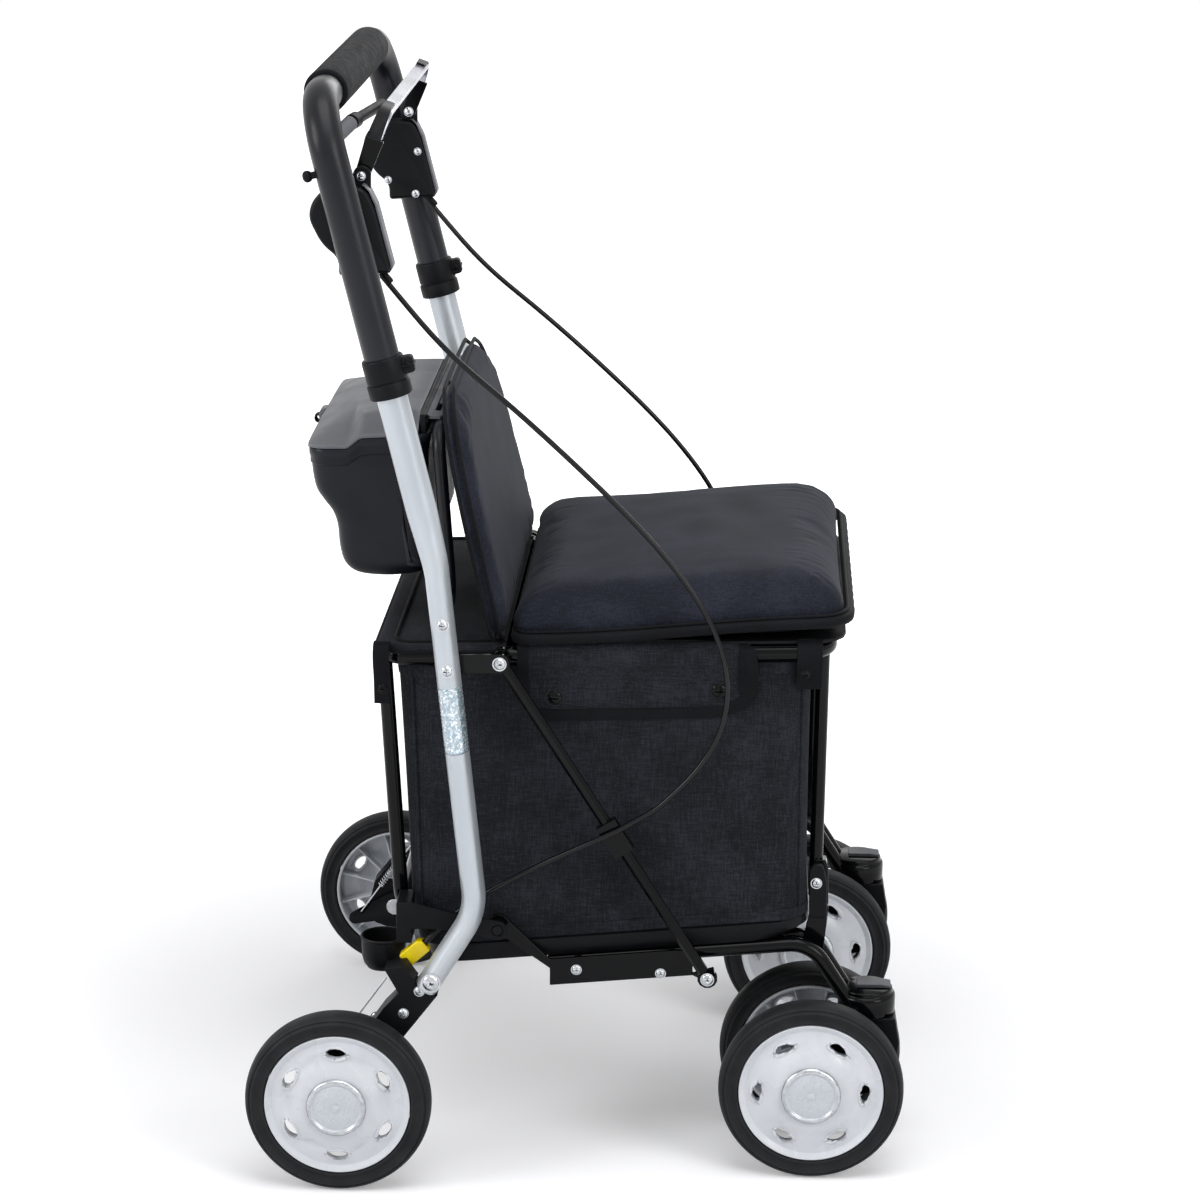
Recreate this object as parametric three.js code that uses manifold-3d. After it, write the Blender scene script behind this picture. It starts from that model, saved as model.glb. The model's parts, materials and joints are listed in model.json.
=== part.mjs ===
// Seat trolley: a four-legged shopping trolley with a folding frame, two braked rear wheels, two twin-wheel
// front casters, a telescopic push handle with a squeeze lever, a padded seat over a hanging bag, a backrest
// and a lidded box behind it. Millimetres, +Z up, forward is -Y, left is +X. The model is drawn from the rear
// axle (y = 0) and the floor (z = 0), and is moved at the end so that its origin is under the middle.
import * as THREE from 'three';
import { mergeVertices } from 'three/addons/utils/BufferGeometryUtils.js';
import Module from 'manifold-3d';

const wasm = await Module();
wasm.setup();

// General
const deg = Math.PI / 180;
const fitGap = 0.3;
const weldReach = 0.0005;
const overrun = 4;

// Wheels
const wheelSides = 26;
const wheelRadius = 87.5;
const tyreHalfWidth = 14;
const tyreSeatHalf = 10;
const rimRadius = 68;
const rimWall = 3;
const rimFace = 13.5;
const dishFace = 10;
const capRadius = 27;
const capFace = 22;
const capFlare = 3;
const hubRadius = 13;
const axleRadius = 5;
const axleSides = 12;
const axleReach = 10;
const ventCount = 6;
const ventRadius = 51;
const ventLength = 24;
const ventWidth = 11;
const ventSides = 8;
const wheelbase = 438.5;
const rearTrack = 566.6;
const casterTrack = 364.8;
const twinPitch = 99;
const axleHeight = wheelRadius * Math.cos(Math.PI / wheelSides);

// Casters
const casterTrail = 51.5;
const forkHalf = 22;
const headRadius = 27;
const headSides = 20;
const headBottom = 147;
const headTop = 172;
const stemRadius = 8;
const stemLength = 16;
const forkNose = 31;
const forkHubRadius = 25;
const tabLength = 32;
const tabHalf = 9;
const tabThick = 3.5;
const hubInboard = twinPitch / 2 - forkHalf - fitGap;

// Uprights: round above the bend, oval below it
const uprightSpread = 246;
const uprightRadius = 14;
const uprightSides = 14;
const ovalHalfWide = 17;
const ovalHalfDeep = 11;
const uprightTop = 850;
const bendHeight = 591;
const bendSetback = -91.5;
const pushTilt = 13.8 * deg;
const kneeHeight = 262;
const kneeSetback = -125.5;
const footHeight = 186;
const footSetback = -79;
const bendRadius = 150;
const kneeRadius = 60;
const roundAboveBend = 49;
const ovalBelowBend = 11;
const roundEnd = bendHeight + roundAboveBend;
const ovalStart = bendHeight - ovalBelowBend;

// Push handle
const handleRadius = 16;
const handleSides = 14;
const handleBend = 50;
const gripHeight = 1006;
const gripRadius = 20;
const gripHalf = 172;
const gripLip = 2;
const boreTop = 938;
const collarBottom = 747;
const collarLength = 36;
const collarRadius = 19;
const collarLip = 8;
const collarGroove = 1;
const camReach = 8;
const camHalf = 7;
const camTall = 14;

// Brake housings and lever
const housingInner = 201;
const housingBottom = 850;
const housingHeight = 80;
const housingFront = -52;
const housingDepth = 74;
const pivotSetback = -25.6;
const pivotHeight = 938.5;
const pivotRadius = 3;
const lugRadius = 8;
const lugInner = 209;
const lugThick = 6;
const armThick = 5;
const armReach = 33;
const leverReach = 54.7;
const leverLean = 19.7 * deg;
const leverBend = 38;
const leverWide = 12;
const leverThick = 4;

// Fold linkage: a parallelogram of side_bracket pin, ring pin, front bar and pole foot
const deckPinSetback = -144;
const deckPinHeight = 236;
const seatPinSetback = -147;
const seatPinHeight = 495;
const linkRun = 300;
const linkRise = 9;
const seatTilt = Math.atan2(linkRise, linkRun);
const seatLength = Math.hypot(linkRun, linkRise);
const pinRadius = 4;
const eyeRadius = 9.5;
const pinSides = 12;

// Seat rings
const ringSpread = 200;
const ringRadius = 8;
const ringSides = 10;
const ringCorner = 30;
const rearRingDepth = 111;
const bossRadius = 6;
const bossSetback = 41;
const laneInner = 224.9;
const laneOuter = 229.1;

// Rear hoop, side brackets, cup
const hoopSpread = 185;
const hoopRadius = 7;
const hoopTopSetback = -37.5;
const hoopFootSetback = -51;
const hoopFootHeight = 244;
const hoopCorner = 22;
const bracketFoot = 222;
const bracketWaist = 236;
const bracketBrow = 250;
const bracketHead = 262;
const clawFront = -64;
const clawRear = -50;
const cupRadius = 21.5;
const cupHeight = 32;
const cupWall = 2;
const cupSetback = -35.5;
const cupSpread = 206;
const cupSides = 20;

// Rear brackets, rear brake
const bracketInner = 232;
const axleHeadRadius = 9;
const axleHeadThick = 4;
const brakeArmThick = 4.4;
const brakeArmReach = 45.7;
const brakeArmDrop = 19.4 * deg;
const brakeArmHub = 15;
const brakeArmTip = 6.5;
const adjusterSpread = 225.6;
const adjusterSetback = -67;
const adjusterHeight = 213;
const adjusterHalfLong = 13;
const adjusterHalfDeep = 7.5;
const adjusterHalfWide = 6.1;
const adjusterLean = 47.8 * deg;

// Folding deck: tubes, channels, tray and bag
const deckTilt = 5.5 * deg;
const deckTubeRadius = 7;
const deckTubePitch = 26;
const deckTubeRear = -190;
const deckTubeLine = 215;
const deckTubeLineSetback = -404;
const deckTubeNose = -436;
const deckTubeDrop = 152;
const deckTubeTip = -478;
const deckTubeBend = 35;
const channelInner = 206;
const channelThick = 4.4;
const channelFront = -326;
const channelDepth = 24;
const channelRear = -192;
const bracePinSetback = -340;
const bracePinHeight = 190;
const postInner = 172.8;
const postThick = 4.2;
const postLap = 7.2;
const poleSpread = 165;
const poleRadius = 7;
const poleBlock = 48;
const crossFront = -408;
const crossRear = -205;
const trayHalf = 202;
const trayRear = -74;
const trayBehindPole = 10;
const trayFront = deckPinSetback - linkRun + trayBehindPole;
const trayThick = 18;
const trayWall = 3;
const trayCorner = 40;
const bagHalf = 200;
const bagRear = -68;
const bagBehindPole = 12;
const bagFront = deckPinSetback - linkRun + bagBehindPole;
const bagCorner = 26;
const bagWall = 4;

// Braces
const braceSpread = 219;
const braceRadius = 5.5;
const braceSides = 8;
const braceEyeThick = 5;
const clipShare = 0.55;
const clipHalfLong = 17;
const clipHalfDeep = 10;
const clipOuter = 226.4;
const braceFollowShare = 0.4752;
const hookRelease = 8 * deg;
const hookSteps = 5;

// Seat board and seat cushion
const boardHalf = 203;
const boardThick = 3.5;
const boardRear = -14;
const boardOverhang = 16;
const cushionHalf = 213;
const cushionRear = -10;
const cushionFront = -323;
const cushionCorner = 34;
const cushionThick = 46;

// Backrest
const padTilt = 13.2 * deg;
const padAboveSeat = 14;
const padFoot = seatPinHeight + padAboveSeat;
const padTopLine = 728;
const padTopSetback = -90.63;
const padHeight = padTopLine - padFoot;
const padSetback = padTopSetback - padHeight * Math.tan(padTilt);
const padHalf = 211;
const padCrown = 15;
const padBack = 5.4;
const hoopTube = 6;
const restSpread = 161;
const restBend = 24;
const restFootHeight = 541;
const restFootSetback = -97;
const restTopHeight = 696;
const restTopSetback = -86;

// Rear box
const boxHalf = 150;
const boxRear = 36;
const boxFront = -75;
const boxFloor = 552;
const boxRim = 665;
const boxWall = 2.5;
const boxFrontTop = 706;
const lidTop = 704.5;
const lidFront = -66.5;
const flangeThick = 3.4;
const flangeReach = 15;
const flangeHalf = 138;
const lidHingeInset = 4;
const latchHalf = 9;
const latchReach = 6;

// Brake cables: the route's points (across, along, up) as laid on the right side, then mirrored
const cableRadius = 2.5;
const cableSides = 8;
const cableRoute = [
  [215.5, -42, 849.5],
  [216.5, -59.4, 829.8],
  [217.5, -79.7, 802.2],
  [219, -104.4, 776.6],
  [220.5, -127.6, 757.7],
  [222, -148.3, 743.3],
  [224, -184.6, 709.6],
  [226, -213.3, 684.8],
  [228, -247.8, 650.8],
  [229.5, -277.7, 623],
  [230.5, -305.9, 590.2],
  [231, -333.9, 553.5],
  [231.5, -350.2, 521.9],
  [231.5, -359, 483.4],
  [231, -358.2, 452.7],
  [230.5, -346.5, 417.3],
  [230, -324.4, 386],
  [229.6, -293.2, 360.5],
  [229.5, -256.2, 337.3],
  [229, -230.2, 324.5],
  [223, -177.4, 297.5],
  [216.5, -140.6, 273.8],
  [217.5, -105.1, 250.5],
  [220.4, -90.5, 235.5],
  [225.6, -77.4, 222.4],
  [225.6, -56.6, 203.6],
  [228.6, -40, 187],
  [228.6, 36.5, 79],
];

// Finishes
const paint = {
  tubeBlack: { color: 0x1d1f26, roughness: 0.45, metalness: 0.1 },
  glossBlack: { color: 0x101114, roughness: 0.2, metalness: 0.1 },
  plasticBlack: { color: 0x1c1e22, roughness: 0.55, metalness: 0 },
  aluminium: { color: 0xc3ccd4, roughness: 0.35, metalness: 0.9 },
  steel: { color: 0xb9bdc2, roughness: 0.3, metalness: 1 },
  rubber: { color: 0x242527, roughness: 0.85, metalness: 0 },
  wheelWhite: { color: 0xdcdde6, roughness: 0.4, metalness: 0 },
  foam: { color: 0x2b2b2d, roughness: 0.95, metalness: 0 },
  fabric: { color: 0x30333c, roughness: 0.9, metalness: 0 },
  bagFabric: { color: 0x2a2d37, roughness: 0.9, metalness: 0 },
  boxBody: { color: 0x1c1e27, roughness: 0.55, metalness: 0 },
  boxLid: { color: 0x5b5c61, roughness: 0.6, metalness: 0 },
  yellow: { color: 0xf5d800, roughness: 0.45, metalness: 0 },
  tabGrey: { color: 0x4a4c50, roughness: 0.5, metalness: 0 },
};

// Helpers: closed solids from three.js geometries, and their joins and cuts
function outward(geometry) {
  const index = geometry.index.array;
  const place = geometry.attributes.position;
  const a = new THREE.Vector3();
  const b = new THREE.Vector3();
  const c = new THREE.Vector3();
  let volume = 0;
  for (let i = 0; i < index.length; i += 3) {
    a.fromBufferAttribute(place, index[i]);
    b.fromBufferAttribute(place, index[i + 1]);
    c.fromBufferAttribute(place, index[i + 2]);
    volume += a.dot(b.cross(c));
  }
  if (volume < 0) {
    for (let i = 0; i < index.length; i += 3) {
      const kept = index[i + 1];
      index[i + 1] = index[i + 2];
      index[i + 2] = kept;
    }
  }
  return geometry;
}

function closed(geometry) {
  geometry.deleteAttribute('normal');
  geometry.deleteAttribute('uv');
  return outward(mergeVertices(geometry, weldReach));
}

function solid(geometry) {
  const whole = closed(geometry);
  const vertProperties = Float32Array.from(whole.attributes.position.array);
  const triVerts = Uint32Array.from(whole.index.array);
  return new wasm.Manifold(new wasm.Mesh({ numProp: 3, vertProperties, triVerts }));
}

function surface(manifold) {
  const mesh = manifold.getMesh();
  const geometry = new THREE.BufferGeometry();
  geometry.setAttribute('position', new THREE.BufferAttribute(Float32Array.from(mesh.vertProperties), 3));
  geometry.setIndex(new THREE.BufferAttribute(Uint32Array.from(mesh.triVerts), 1));
  return geometry;
}

function join(first, ...others) {
  return others.reduce((sum, other) => sum.add(other), first);
}

function cut(first, ...others) {
  return others.reduce((rest, other) => rest.subtract(other), first);
}

// A bore's facets stay outside the round piece that runs in it
function boreFor(radius, sides) {
  return (radius + fitGap) / Math.cos(Math.PI / sides);
}

function mix(from, to, share) {
  return from + (to - from) * share;
}

// Prisms: outlines drawn in (y, z), (x, y) or (x, z) and pushed along the third axis
function prism(outline, length) {
  const shape = new THREE.Shape(outline.map(([u, v]) => new THREE.Vector2(u, v)));
  return new THREE.ExtrudeGeometry(shape, { depth: length, steps: 1, bevelEnabled: false });
}

function prismX(outline, low, high) {
  const geometry = prism(outline, high - low);
  geometry.applyMatrix4(new THREE.Matrix4().set(0, 0, 1, low, 1, 0, 0, 0, 0, 1, 0, 0, 0, 0, 0, 1));
  return geometry;
}

function prismZ(outline, low, high) {
  return prism(outline, high - low).translate(0, 0, low);
}

// The same prism on the left (side 1) or the right (side -1), given distances from the middle plane
function platePrism(outline, side, inner, outer) {
  return prismX(outline, Math.min(side * inner, side * outer), Math.max(side * inner, side * outer));
}

function circle(u, v, radius, sides, turn = 0) {
  return Array.from({ length: sides }, (_, i) => {
    const angle = turn + (2 * Math.PI * (i + 0.5)) / sides;
    return [u + radius * Math.cos(angle), v + radius * Math.sin(angle)];
  });
}

function arc(u, v, radius, from, to, steps) {
  return Array.from({ length: steps + 1 }, (_, i) => {
    const angle = mix(from, to, i / steps);
    return [u + radius * Math.cos(angle), v + radius * Math.sin(angle)];
  });
}

function roundedRectangle(halfWide, low, high, radius, steps) {
  return [
    ...arc(halfWide - radius, high - radius, radius, 0, 90 * deg, steps),
    ...arc(radius - halfWide, high - radius, radius, 90 * deg, 180 * deg, steps),
    ...arc(radius - halfWide, low + radius, radius, 180 * deg, 270 * deg, steps),
    ...arc(halfWide - radius, low + radius, radius, 270 * deg, 360 * deg, steps),
  ];
}

// A rod or ring turned about the X axis; each profile point is [radius, place along the axis]
function turned(profile, sides) {
  const points = profile.map(([radius, along]) => new THREE.Vector2(radius, along));
  const geometry = new THREE.LatheGeometry(points, sides, Math.PI / sides, 2 * Math.PI);
  return geometry.rotateZ(-90 * deg);
}

function ringProfile(profile) {
  return [...profile, profile[0]];
}

function rod(radius, low, high, sides) {
  return turned([[0, low], [radius, low], [radius, high], [0, high]], sides);
}

// A route of straight runs and bends, with a station only where the direction changes
class Route extends THREE.Curve {
  constructor(stations) {
    super();
    this.stations = stations;
  }
  getPoint(t, target = new THREE.Vector3()) {
    return target.copy(this.stations[Math.round(t * (this.stations.length - 1))].point);
  }
  getSpacedPoints() {
    return this.stations.map((station) => station.point.clone());
  }
  getTangentAt(u, target = new THREE.Vector3()) {
    return target.copy(this.stations[Math.round(u * (this.stations.length - 1))].tangent);
  }
}

function bentStations(points, radius, steps) {
  const corners = points.map((p) => new THREE.Vector3(...p));
  const last = corners.length - 1;
  const start = corners[1].clone().sub(corners[0]).normalize();
  const stations = [{ point: corners[0], tangent: start }];
  for (let i = 1; i < last; i += 1) {
    const into = corners[i].clone().sub(corners[i - 1]).normalize();
    const away = corners[i + 1].clone().sub(corners[i]).normalize();
    const turn = into.angleTo(away);
    const axis = into.clone().cross(away).normalize();
    const reach = radius * Math.tan(turn / 2);
    const toCentre = axis.clone().cross(into);
    const centre = corners[i].clone().addScaledVector(into, -reach).addScaledVector(toCentre, radius);
    for (let k = 0; k <= steps; k += 1) {
      const angle = (turn * k) / steps;
      const arm = toCentre.clone().applyAxisAngle(axis, angle);
      const tangent = into.clone().applyAxisAngle(axis, angle);
      stations.push({ point: centre.clone().addScaledVector(arm, -radius), tangent });
    }
  }
  const end = corners[last].clone().sub(corners[last - 1]).normalize();
  stations.push({ point: corners[last], tangent: end });
  return stations;
}

function sweep(stations, outline) {
  const shape = new THREE.Shape(outline.map(([u, v]) => new THREE.Vector2(u, v)));
  const extrudePath = new Route(stations);
  return new THREE.ExtrudeGeometry(shape, { steps: stations.length - 1, bevelEnabled: false, extrudePath });
}

function tube(points, bend, radius, sides, steps = 4) {
  return sweep(bentStations(points, bend, steps), circle(0, 0, radius, sides));
}

// A straight round bar between two points
function bar(from, to, radius, sides) {
  const tangent = new THREE.Vector3(...to).sub(new THREE.Vector3(...from)).normalize();
  const stations = [from, to].map((p) => ({ point: new THREE.Vector3(...p), tangent }));
  return sweep(stations, circle(0, 0, radius, sides));
}

// A body through closed rings of points, one after the other, with a flat fan at both ends
function loft(rings) {
  const count = rings[0].length;
  const places = rings.flat();
  const index = [];
  for (let r = 0; r < rings.length - 1; r += 1) {
    for (let i = 0; i < count; i += 1) {
      const a = r * count + i;
      const b = r * count + ((i + 1) % count);
      index.push(a, b, b + count, a, b + count, a + count);
    }
  }
  for (const [r, way] of [[0, 1], [rings.length - 1, -1]]) {
    const centre = new THREE.Vector3();
    rings[r].forEach((p) => centre.addScaledVector(p, 1 / count));
    const hub = places.push(centre) - 1;
    for (let i = 0; i < count; i += 1) {
      const a = r * count + i;
      const b = r * count + ((i + 1) % count);
      index.push(hub, way > 0 ? b : a, way > 0 ? a : b);
    }
  }
  const geometry = new THREE.BufferGeometry().setFromPoints(places);
  geometry.setIndex(index);
  return outward(geometry);
}

// Scene graph
const trolley = new THREE.Group();
const frame = new THREE.Group();
trolley.add(frame);

function add(name, geometry, finish, parent = frame) {
  const whole = geometry.attributes.normal ? closed(geometry) : geometry;
  const mesh = new THREE.Mesh(whole, new THREE.MeshStandardMaterial(paint[finish]));
  mesh.name = name;
  parent.add(mesh);
  return mesh;
}

function sideName(name, side) {
  return `${name}_${side > 0 ? 'left' : 'right'}`;
}

const sides = [1, -1];

// The line of the upper uprights and of the push handle
function onUpright(height) {
  return bendSetback + (height - bendHeight) * Math.tan(pushTilt);
}

function alongUpright(across, height, distance) {
  return [across, onUpright(height) + distance * Math.sin(pushTilt), height + distance * Math.cos(pushTilt)];
}

// Wheels: a rubber tyre on a dished disc with oval vents, and a hub cap
function tyre() {
  const shoulder = mix(rimRadius, wheelRadius, 0.8);
  const cheek = mix(rimRadius, wheelRadius, 0.3);
  const crown = tyreHalfWidth * 0.42;
  const edge = tyreHalfWidth * 0.82;
  const half = [
    [rimRadius, tyreSeatHalf],
    [cheek, tyreHalfWidth],
    [shoulder, edge],
    [wheelRadius, crown],
  ];
  const mirrored = half.map(([radius, along]) => [radius, -along]).reverse();
  return turned(ringProfile([...half, ...mirrored]), wheelSides);
}

function rim(side, turn) {
  const outer = rimRadius - fitGap;
  const bore = boreFor(axleRadius, wheelSides);
  const profile = [
    [0, capFace],
    [capRadius, capFace],
    [capRadius + capFlare, dishFace],
    [outer, rimFace],
    [outer, -tyreSeatHalf],
    [outer - rimWall, -tyreSeatHalf],
    [outer - rimWall, rimFace - rimWall],
    [hubRadius, dishFace - rimWall],
    [hubRadius, -hubInboard],
    [bore, -hubInboard],
    [bore, axleReach],
    [0, axleReach],
  ];
  const disc = solid(turned(profile.map(([radius, along]) => [radius, side * along]), wheelSides));
  const vents = Array.from({ length: ventCount }, (_, i) => {
    const angle = turn + (2 * Math.PI * i) / ventCount;
    const outline = circle(0, 0, 1, ventSides).map(([u, v]) => {
      const radial = ventRadius + (v * ventWidth) / 2;
      const across = (u * ventLength) / 2;
      const y = radial * Math.cos(angle) - across * Math.sin(angle);
      const z = radial * Math.sin(angle) + across * Math.cos(angle);
      return [y, z];
    });
    return solid(platePrism(outline, side, dishFace - rimWall - overrun, rimFace + overrun));
  });
  return surface(cut(disc, ...vents));
}

function wheel(label, x, y, side, turn) {
  const place = new THREE.Group();
  place.position.set(x, y, axleHeight);
  frame.add(place);
  add(`${label}_tyre`, tyre(), 'rubber', place);
  add(`${label}_rim`, rim(side, turn), 'wheelWhite', place);
}

for (const side of sides) {
  wheel(sideName('rear', side), (side * rearTrack) / 2, 0, side, 90 * deg);
}

// Rear brackets: moulded arms from the feet of the uprights to the rear hub, with the brake's parts
const adjusterOut = [-Math.sin(adjusterLean), Math.cos(adjusterLean)];
const adjusterSideways = [Math.cos(adjusterLean), Math.sin(adjusterLean)];

function onAdjuster(along, sideways) {
  return [
    adjusterSetback + along * adjusterOut[0] + sideways * adjusterSideways[0],
    adjusterHeight + along * adjusterOut[1] + sideways * adjusterSideways[1],
  ];
}

// The bracket's outline, as shares of the run from the hub to the upright's foot
const bracketOutlineShares = [
  [1.145, 0.952],
  [0.797, 0.589],
  [0.354, 0.121],
  [0.228, -0.162],
  [0, -0.295],
  [-0.278, -0.213],
  [-0.354, 0.015],
  [-0.278, 0.254],
  [-0.03, 0.497],
  [0.278, 0.558],
  [0.506, 0.813],
  [0.684, 0.965],
  [0.519, 1.202],
  [0.759, 1.232],
  [0.88, 1.091],
];

for (const side of sides) {
  const hubRun = rearTrack / 2 - hubInboard - fitGap;
  const outline = bracketOutlineShares.map(([back, up]) => [
    footSetback * back,
    mix(axleHeight, footHeight, up),
  ]);
  const bracket = solid(platePrism(outline, side, bracketInner, hubRun));
  const footRun = new THREE.Vector2(footSetback - kneeSetback, footHeight - kneeHeight).normalize();
  const onFoot = (along, across) => [
    footSetback + footRun.x * along - footRun.y * across,
    footHeight + footRun.y * along + footRun.x * across,
  ];
  const socketHalf = ovalHalfDeep + fitGap;
  const socket = solid(platePrism([
    onFoot(fitGap, -socketHalf),
    onFoot(fitGap, socketHalf),
    onFoot(-ovalHalfDeep * 4, socketHalf),
    onFoot(-ovalHalfDeep * 4, -socketHalf),
  ], side, bracketInner - overrun, hubRun + overrun));
  const bore = circle(0, axleHeight, boreFor(axleRadius, axleSides), axleSides);
  const hole = solid(platePrism(bore, side, bracketInner - overrun, hubRun + overrun));
  add(sideName('rear_bracket', side), surface(cut(bracket, hole, socket)), 'plasticBlack');

  const headOuter = bracketInner - brakeArmThick - 2 * fitGap;
  const tip = rearTrack / 2 + axleReach - fitGap;
  const axle = solid(turned([
    [0, side * (headOuter - axleHeadThick)],
    [axleHeadRadius, side * (headOuter - axleHeadThick)],
    [axleHeadRadius, side * headOuter],
    [axleRadius, side * headOuter],
    [axleRadius, side * tip],
    [0, side * tip],
  ], axleSides).translate(0, 0, axleHeight));
  add(sideName('rear_axle', side), surface(axle), 'steel');

  const tipY = brakeArmReach * Math.cos(brakeArmDrop);
  const tipZ = axleHeight - brakeArmReach * Math.sin(brakeArmDrop);
  const armOutline = [
    ...arc(0, axleHeight, brakeArmHub, 60 * deg, 280 * deg, 8),
    ...arc(tipY, tipZ, brakeArmTip, -90 * deg, 60 * deg, 5),
  ];
  const armOuter = bracketInner - fitGap;
  const arm = solid(platePrism(armOutline, side, armOuter - brakeArmThick, armOuter));
  const armBore = solid(platePrism(bore, side, armOuter - brakeArmThick - overrun, armOuter + overrun));
  const [wireFrom, wireTo] = cableRoute.slice(-2).map(([x, y, z]) => new THREE.Vector3(side * x, y, z));
  const wireEnd = wireTo.clone().addScaledVector(wireTo.clone().sub(wireFrom).normalize(), 2 * fitGap);
  const wireBore = boreFor(cableRadius, cableSides) + fitGap;
  const slot = solid(bar(wireFrom.toArray(), wireEnd.toArray(), wireBore, cableSides));
  add(sideName('brake_arm', side), surface(cut(arm, armBore, slot)), 'plasticBlack');

  const block = [
    onAdjuster(-adjusterHalfLong, -adjusterHalfDeep),
    onAdjuster(-adjusterHalfLong, adjusterHalfDeep),
    onAdjuster(adjusterHalfLong * 0.7, adjusterHalfDeep),
    onAdjuster(adjusterHalfLong, adjusterHalfDeep * 0.5),
    onAdjuster(adjusterHalfLong, -adjusterHalfDeep),
  ];
  const low = adjusterSpread - adjusterHalfWide;
  const high = adjusterSpread + adjusterHalfWide;
  const [boreLowY, boreLowZ] = onAdjuster(-adjusterHalfLong - overrun, 0);
  const [boreHighY, boreHighZ] = onAdjuster(adjusterHalfLong + overrun, 0);
  const passage = solid(bar(
    [side * adjusterSpread, boreLowY, boreLowZ],
    [side * adjusterSpread, boreHighY, boreHighZ],
    boreFor(cableRadius, cableSides) + fitGap,
    cableSides,
  ));
  add(sideName('cable_adjuster', side), surface(cut(solid(platePrism(block, side, low, high)), passage)), 'yellow');
}

// Uprights: one bent light-alloy tube on each side
function uprightRing(station, across) {
  const down = station.tangent;
  const out = new THREE.Vector3(0, -down.z, down.y);
  const share = THREE.MathUtils.clamp((station.point.z - ovalStart) / (roundEnd - ovalStart), 0, 1);
  const wide = mix(ovalHalfWide, uprightRadius, share);
  const deep = mix(ovalHalfDeep, uprightRadius, share);
  return circle(0, 0, 1, uprightSides).map(([u, v]) => new THREE.Vector3(
    across + u * wide,
    station.point.y + v * deep * out.y,
    station.point.z + v * deep * out.z,
  ));
}

function uprightStations() {
  const top = [0, onUpright(uprightTop), uprightTop];
  const roundPoint = [0, onUpright(roundEnd), roundEnd];
  const bend = [0, bendSetback, bendHeight];
  const knee = [0, kneeSetback, kneeHeight];
  const foot = [0, footSetback, footHeight];
  const upper = bentStations([roundPoint, bend, knee], bendRadius, 4).slice(0, -1);
  const lower = bentStations([bend, knee, foot], kneeRadius, 6).slice(1);
  return [{ point: new THREE.Vector3(...top), tangent: upper[0].tangent }, ...upper, ...lower];
}

for (const side of sides) {
  const rings = uprightStations().map((station) => uprightRing(station, side * uprightSpread));
  add(sideName('upright', side), loft(rings), 'aluminium');
}

// Push handle: a black tube over the uprights, a foam grip and clamp collars
const handleLow = collarLip + fitGap;
const gripSetback = onUpright(gripHeight);
{
  const foot = alongUpright(0, collarBottom, handleLow);
  const points = [
    [-uprightSpread, foot[1], foot[2]],
    [-uprightSpread, gripSetback, gripHeight],
    [uprightSpread, gripSetback, gripHeight],
    [uprightSpread, foot[1], foot[2]],
  ];
  const whole = solid(tube(points, handleBend, handleRadius, handleSides, 6));
  const bores = sides.map((side) => {
    const low = alongUpright(side * uprightSpread, collarBottom, -overrun);
    const high = [side * uprightSpread, onUpright(boreTop), boreTop];
    return solid(bar(low, high, boreFor(uprightRadius, handleSides), handleSides));
  });
  add('handle_tube', surface(cut(whole, ...bores)), 'tubeBlack');

  const inner = boreFor(handleRadius, handleSides);
  const grip = turned(ringProfile([
    [inner, -gripHalf],
    [gripRadius - gripLip, -gripHalf],
    [gripRadius, gripLip - gripHalf],
    [gripRadius, gripHalf - gripLip],
    [gripRadius - gripLip, gripHalf],
    [inner, gripHalf],
  ]), handleSides);
  add('handle_grip', closed(grip.translate(0, gripSetback, gripHeight)), 'foam');
}

for (const side of sides) {
  const over = boreFor(handleRadius, handleSides);
  const under = boreFor(uprightRadius, handleSides);
  const mid = collarLength * 0.5;
  const profile = ringProfile([
    [under, 0],
    [collarRadius - collarGroove, 0],
    [collarRadius, collarGroove],
    [collarRadius, mid - collarGroove],
    [collarRadius - collarGroove, mid],
    [collarRadius, mid + collarGroove],
    [collarRadius, collarLength],
    [over, collarLength],
    [over, collarLip],
    [under, collarLip],
  ]);
  const ring = solid(turned(profile, handleSides));
  const cam = solid(prismX([
    [collarGroove * 2 - collarRadius, -camHalf],
    [-collarRadius - camReach, -camHalf * 0.7],
    [-collarRadius - camReach, camHalf * 0.7],
    [collarGroove * 2 - collarRadius, camHalf],
  ], collarLength - camTall, collarLength - collarGroove));
  const place = new THREE.Group();
  place.position.set(...alongUpright(side * uprightSpread, collarBottom, 0));
  place.rotation.set(-pushTilt, 0, 0);
  const spin = new THREE.Group();
  spin.rotation.set(0, -90 * deg, 0);
  place.add(spin);
  frame.add(place);
  add(sideName('collar', side), surface(join(ring, cam)), 'plasticBlack', spin);
}

// Brake housings on the inner side of the handle tubes, as shares of their depth and height
const housingShares = [
  [0.014, 0.037],
  [0.635, 0],
  [0.635, 0.225],
  [0.85, 0.375],
  [1, 0.675],
  [0.93, 0.86],
  [0.703, 1],
  [0.297, 1],
  [0.19, 0.8],
  [0, 0.1],
];

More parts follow.
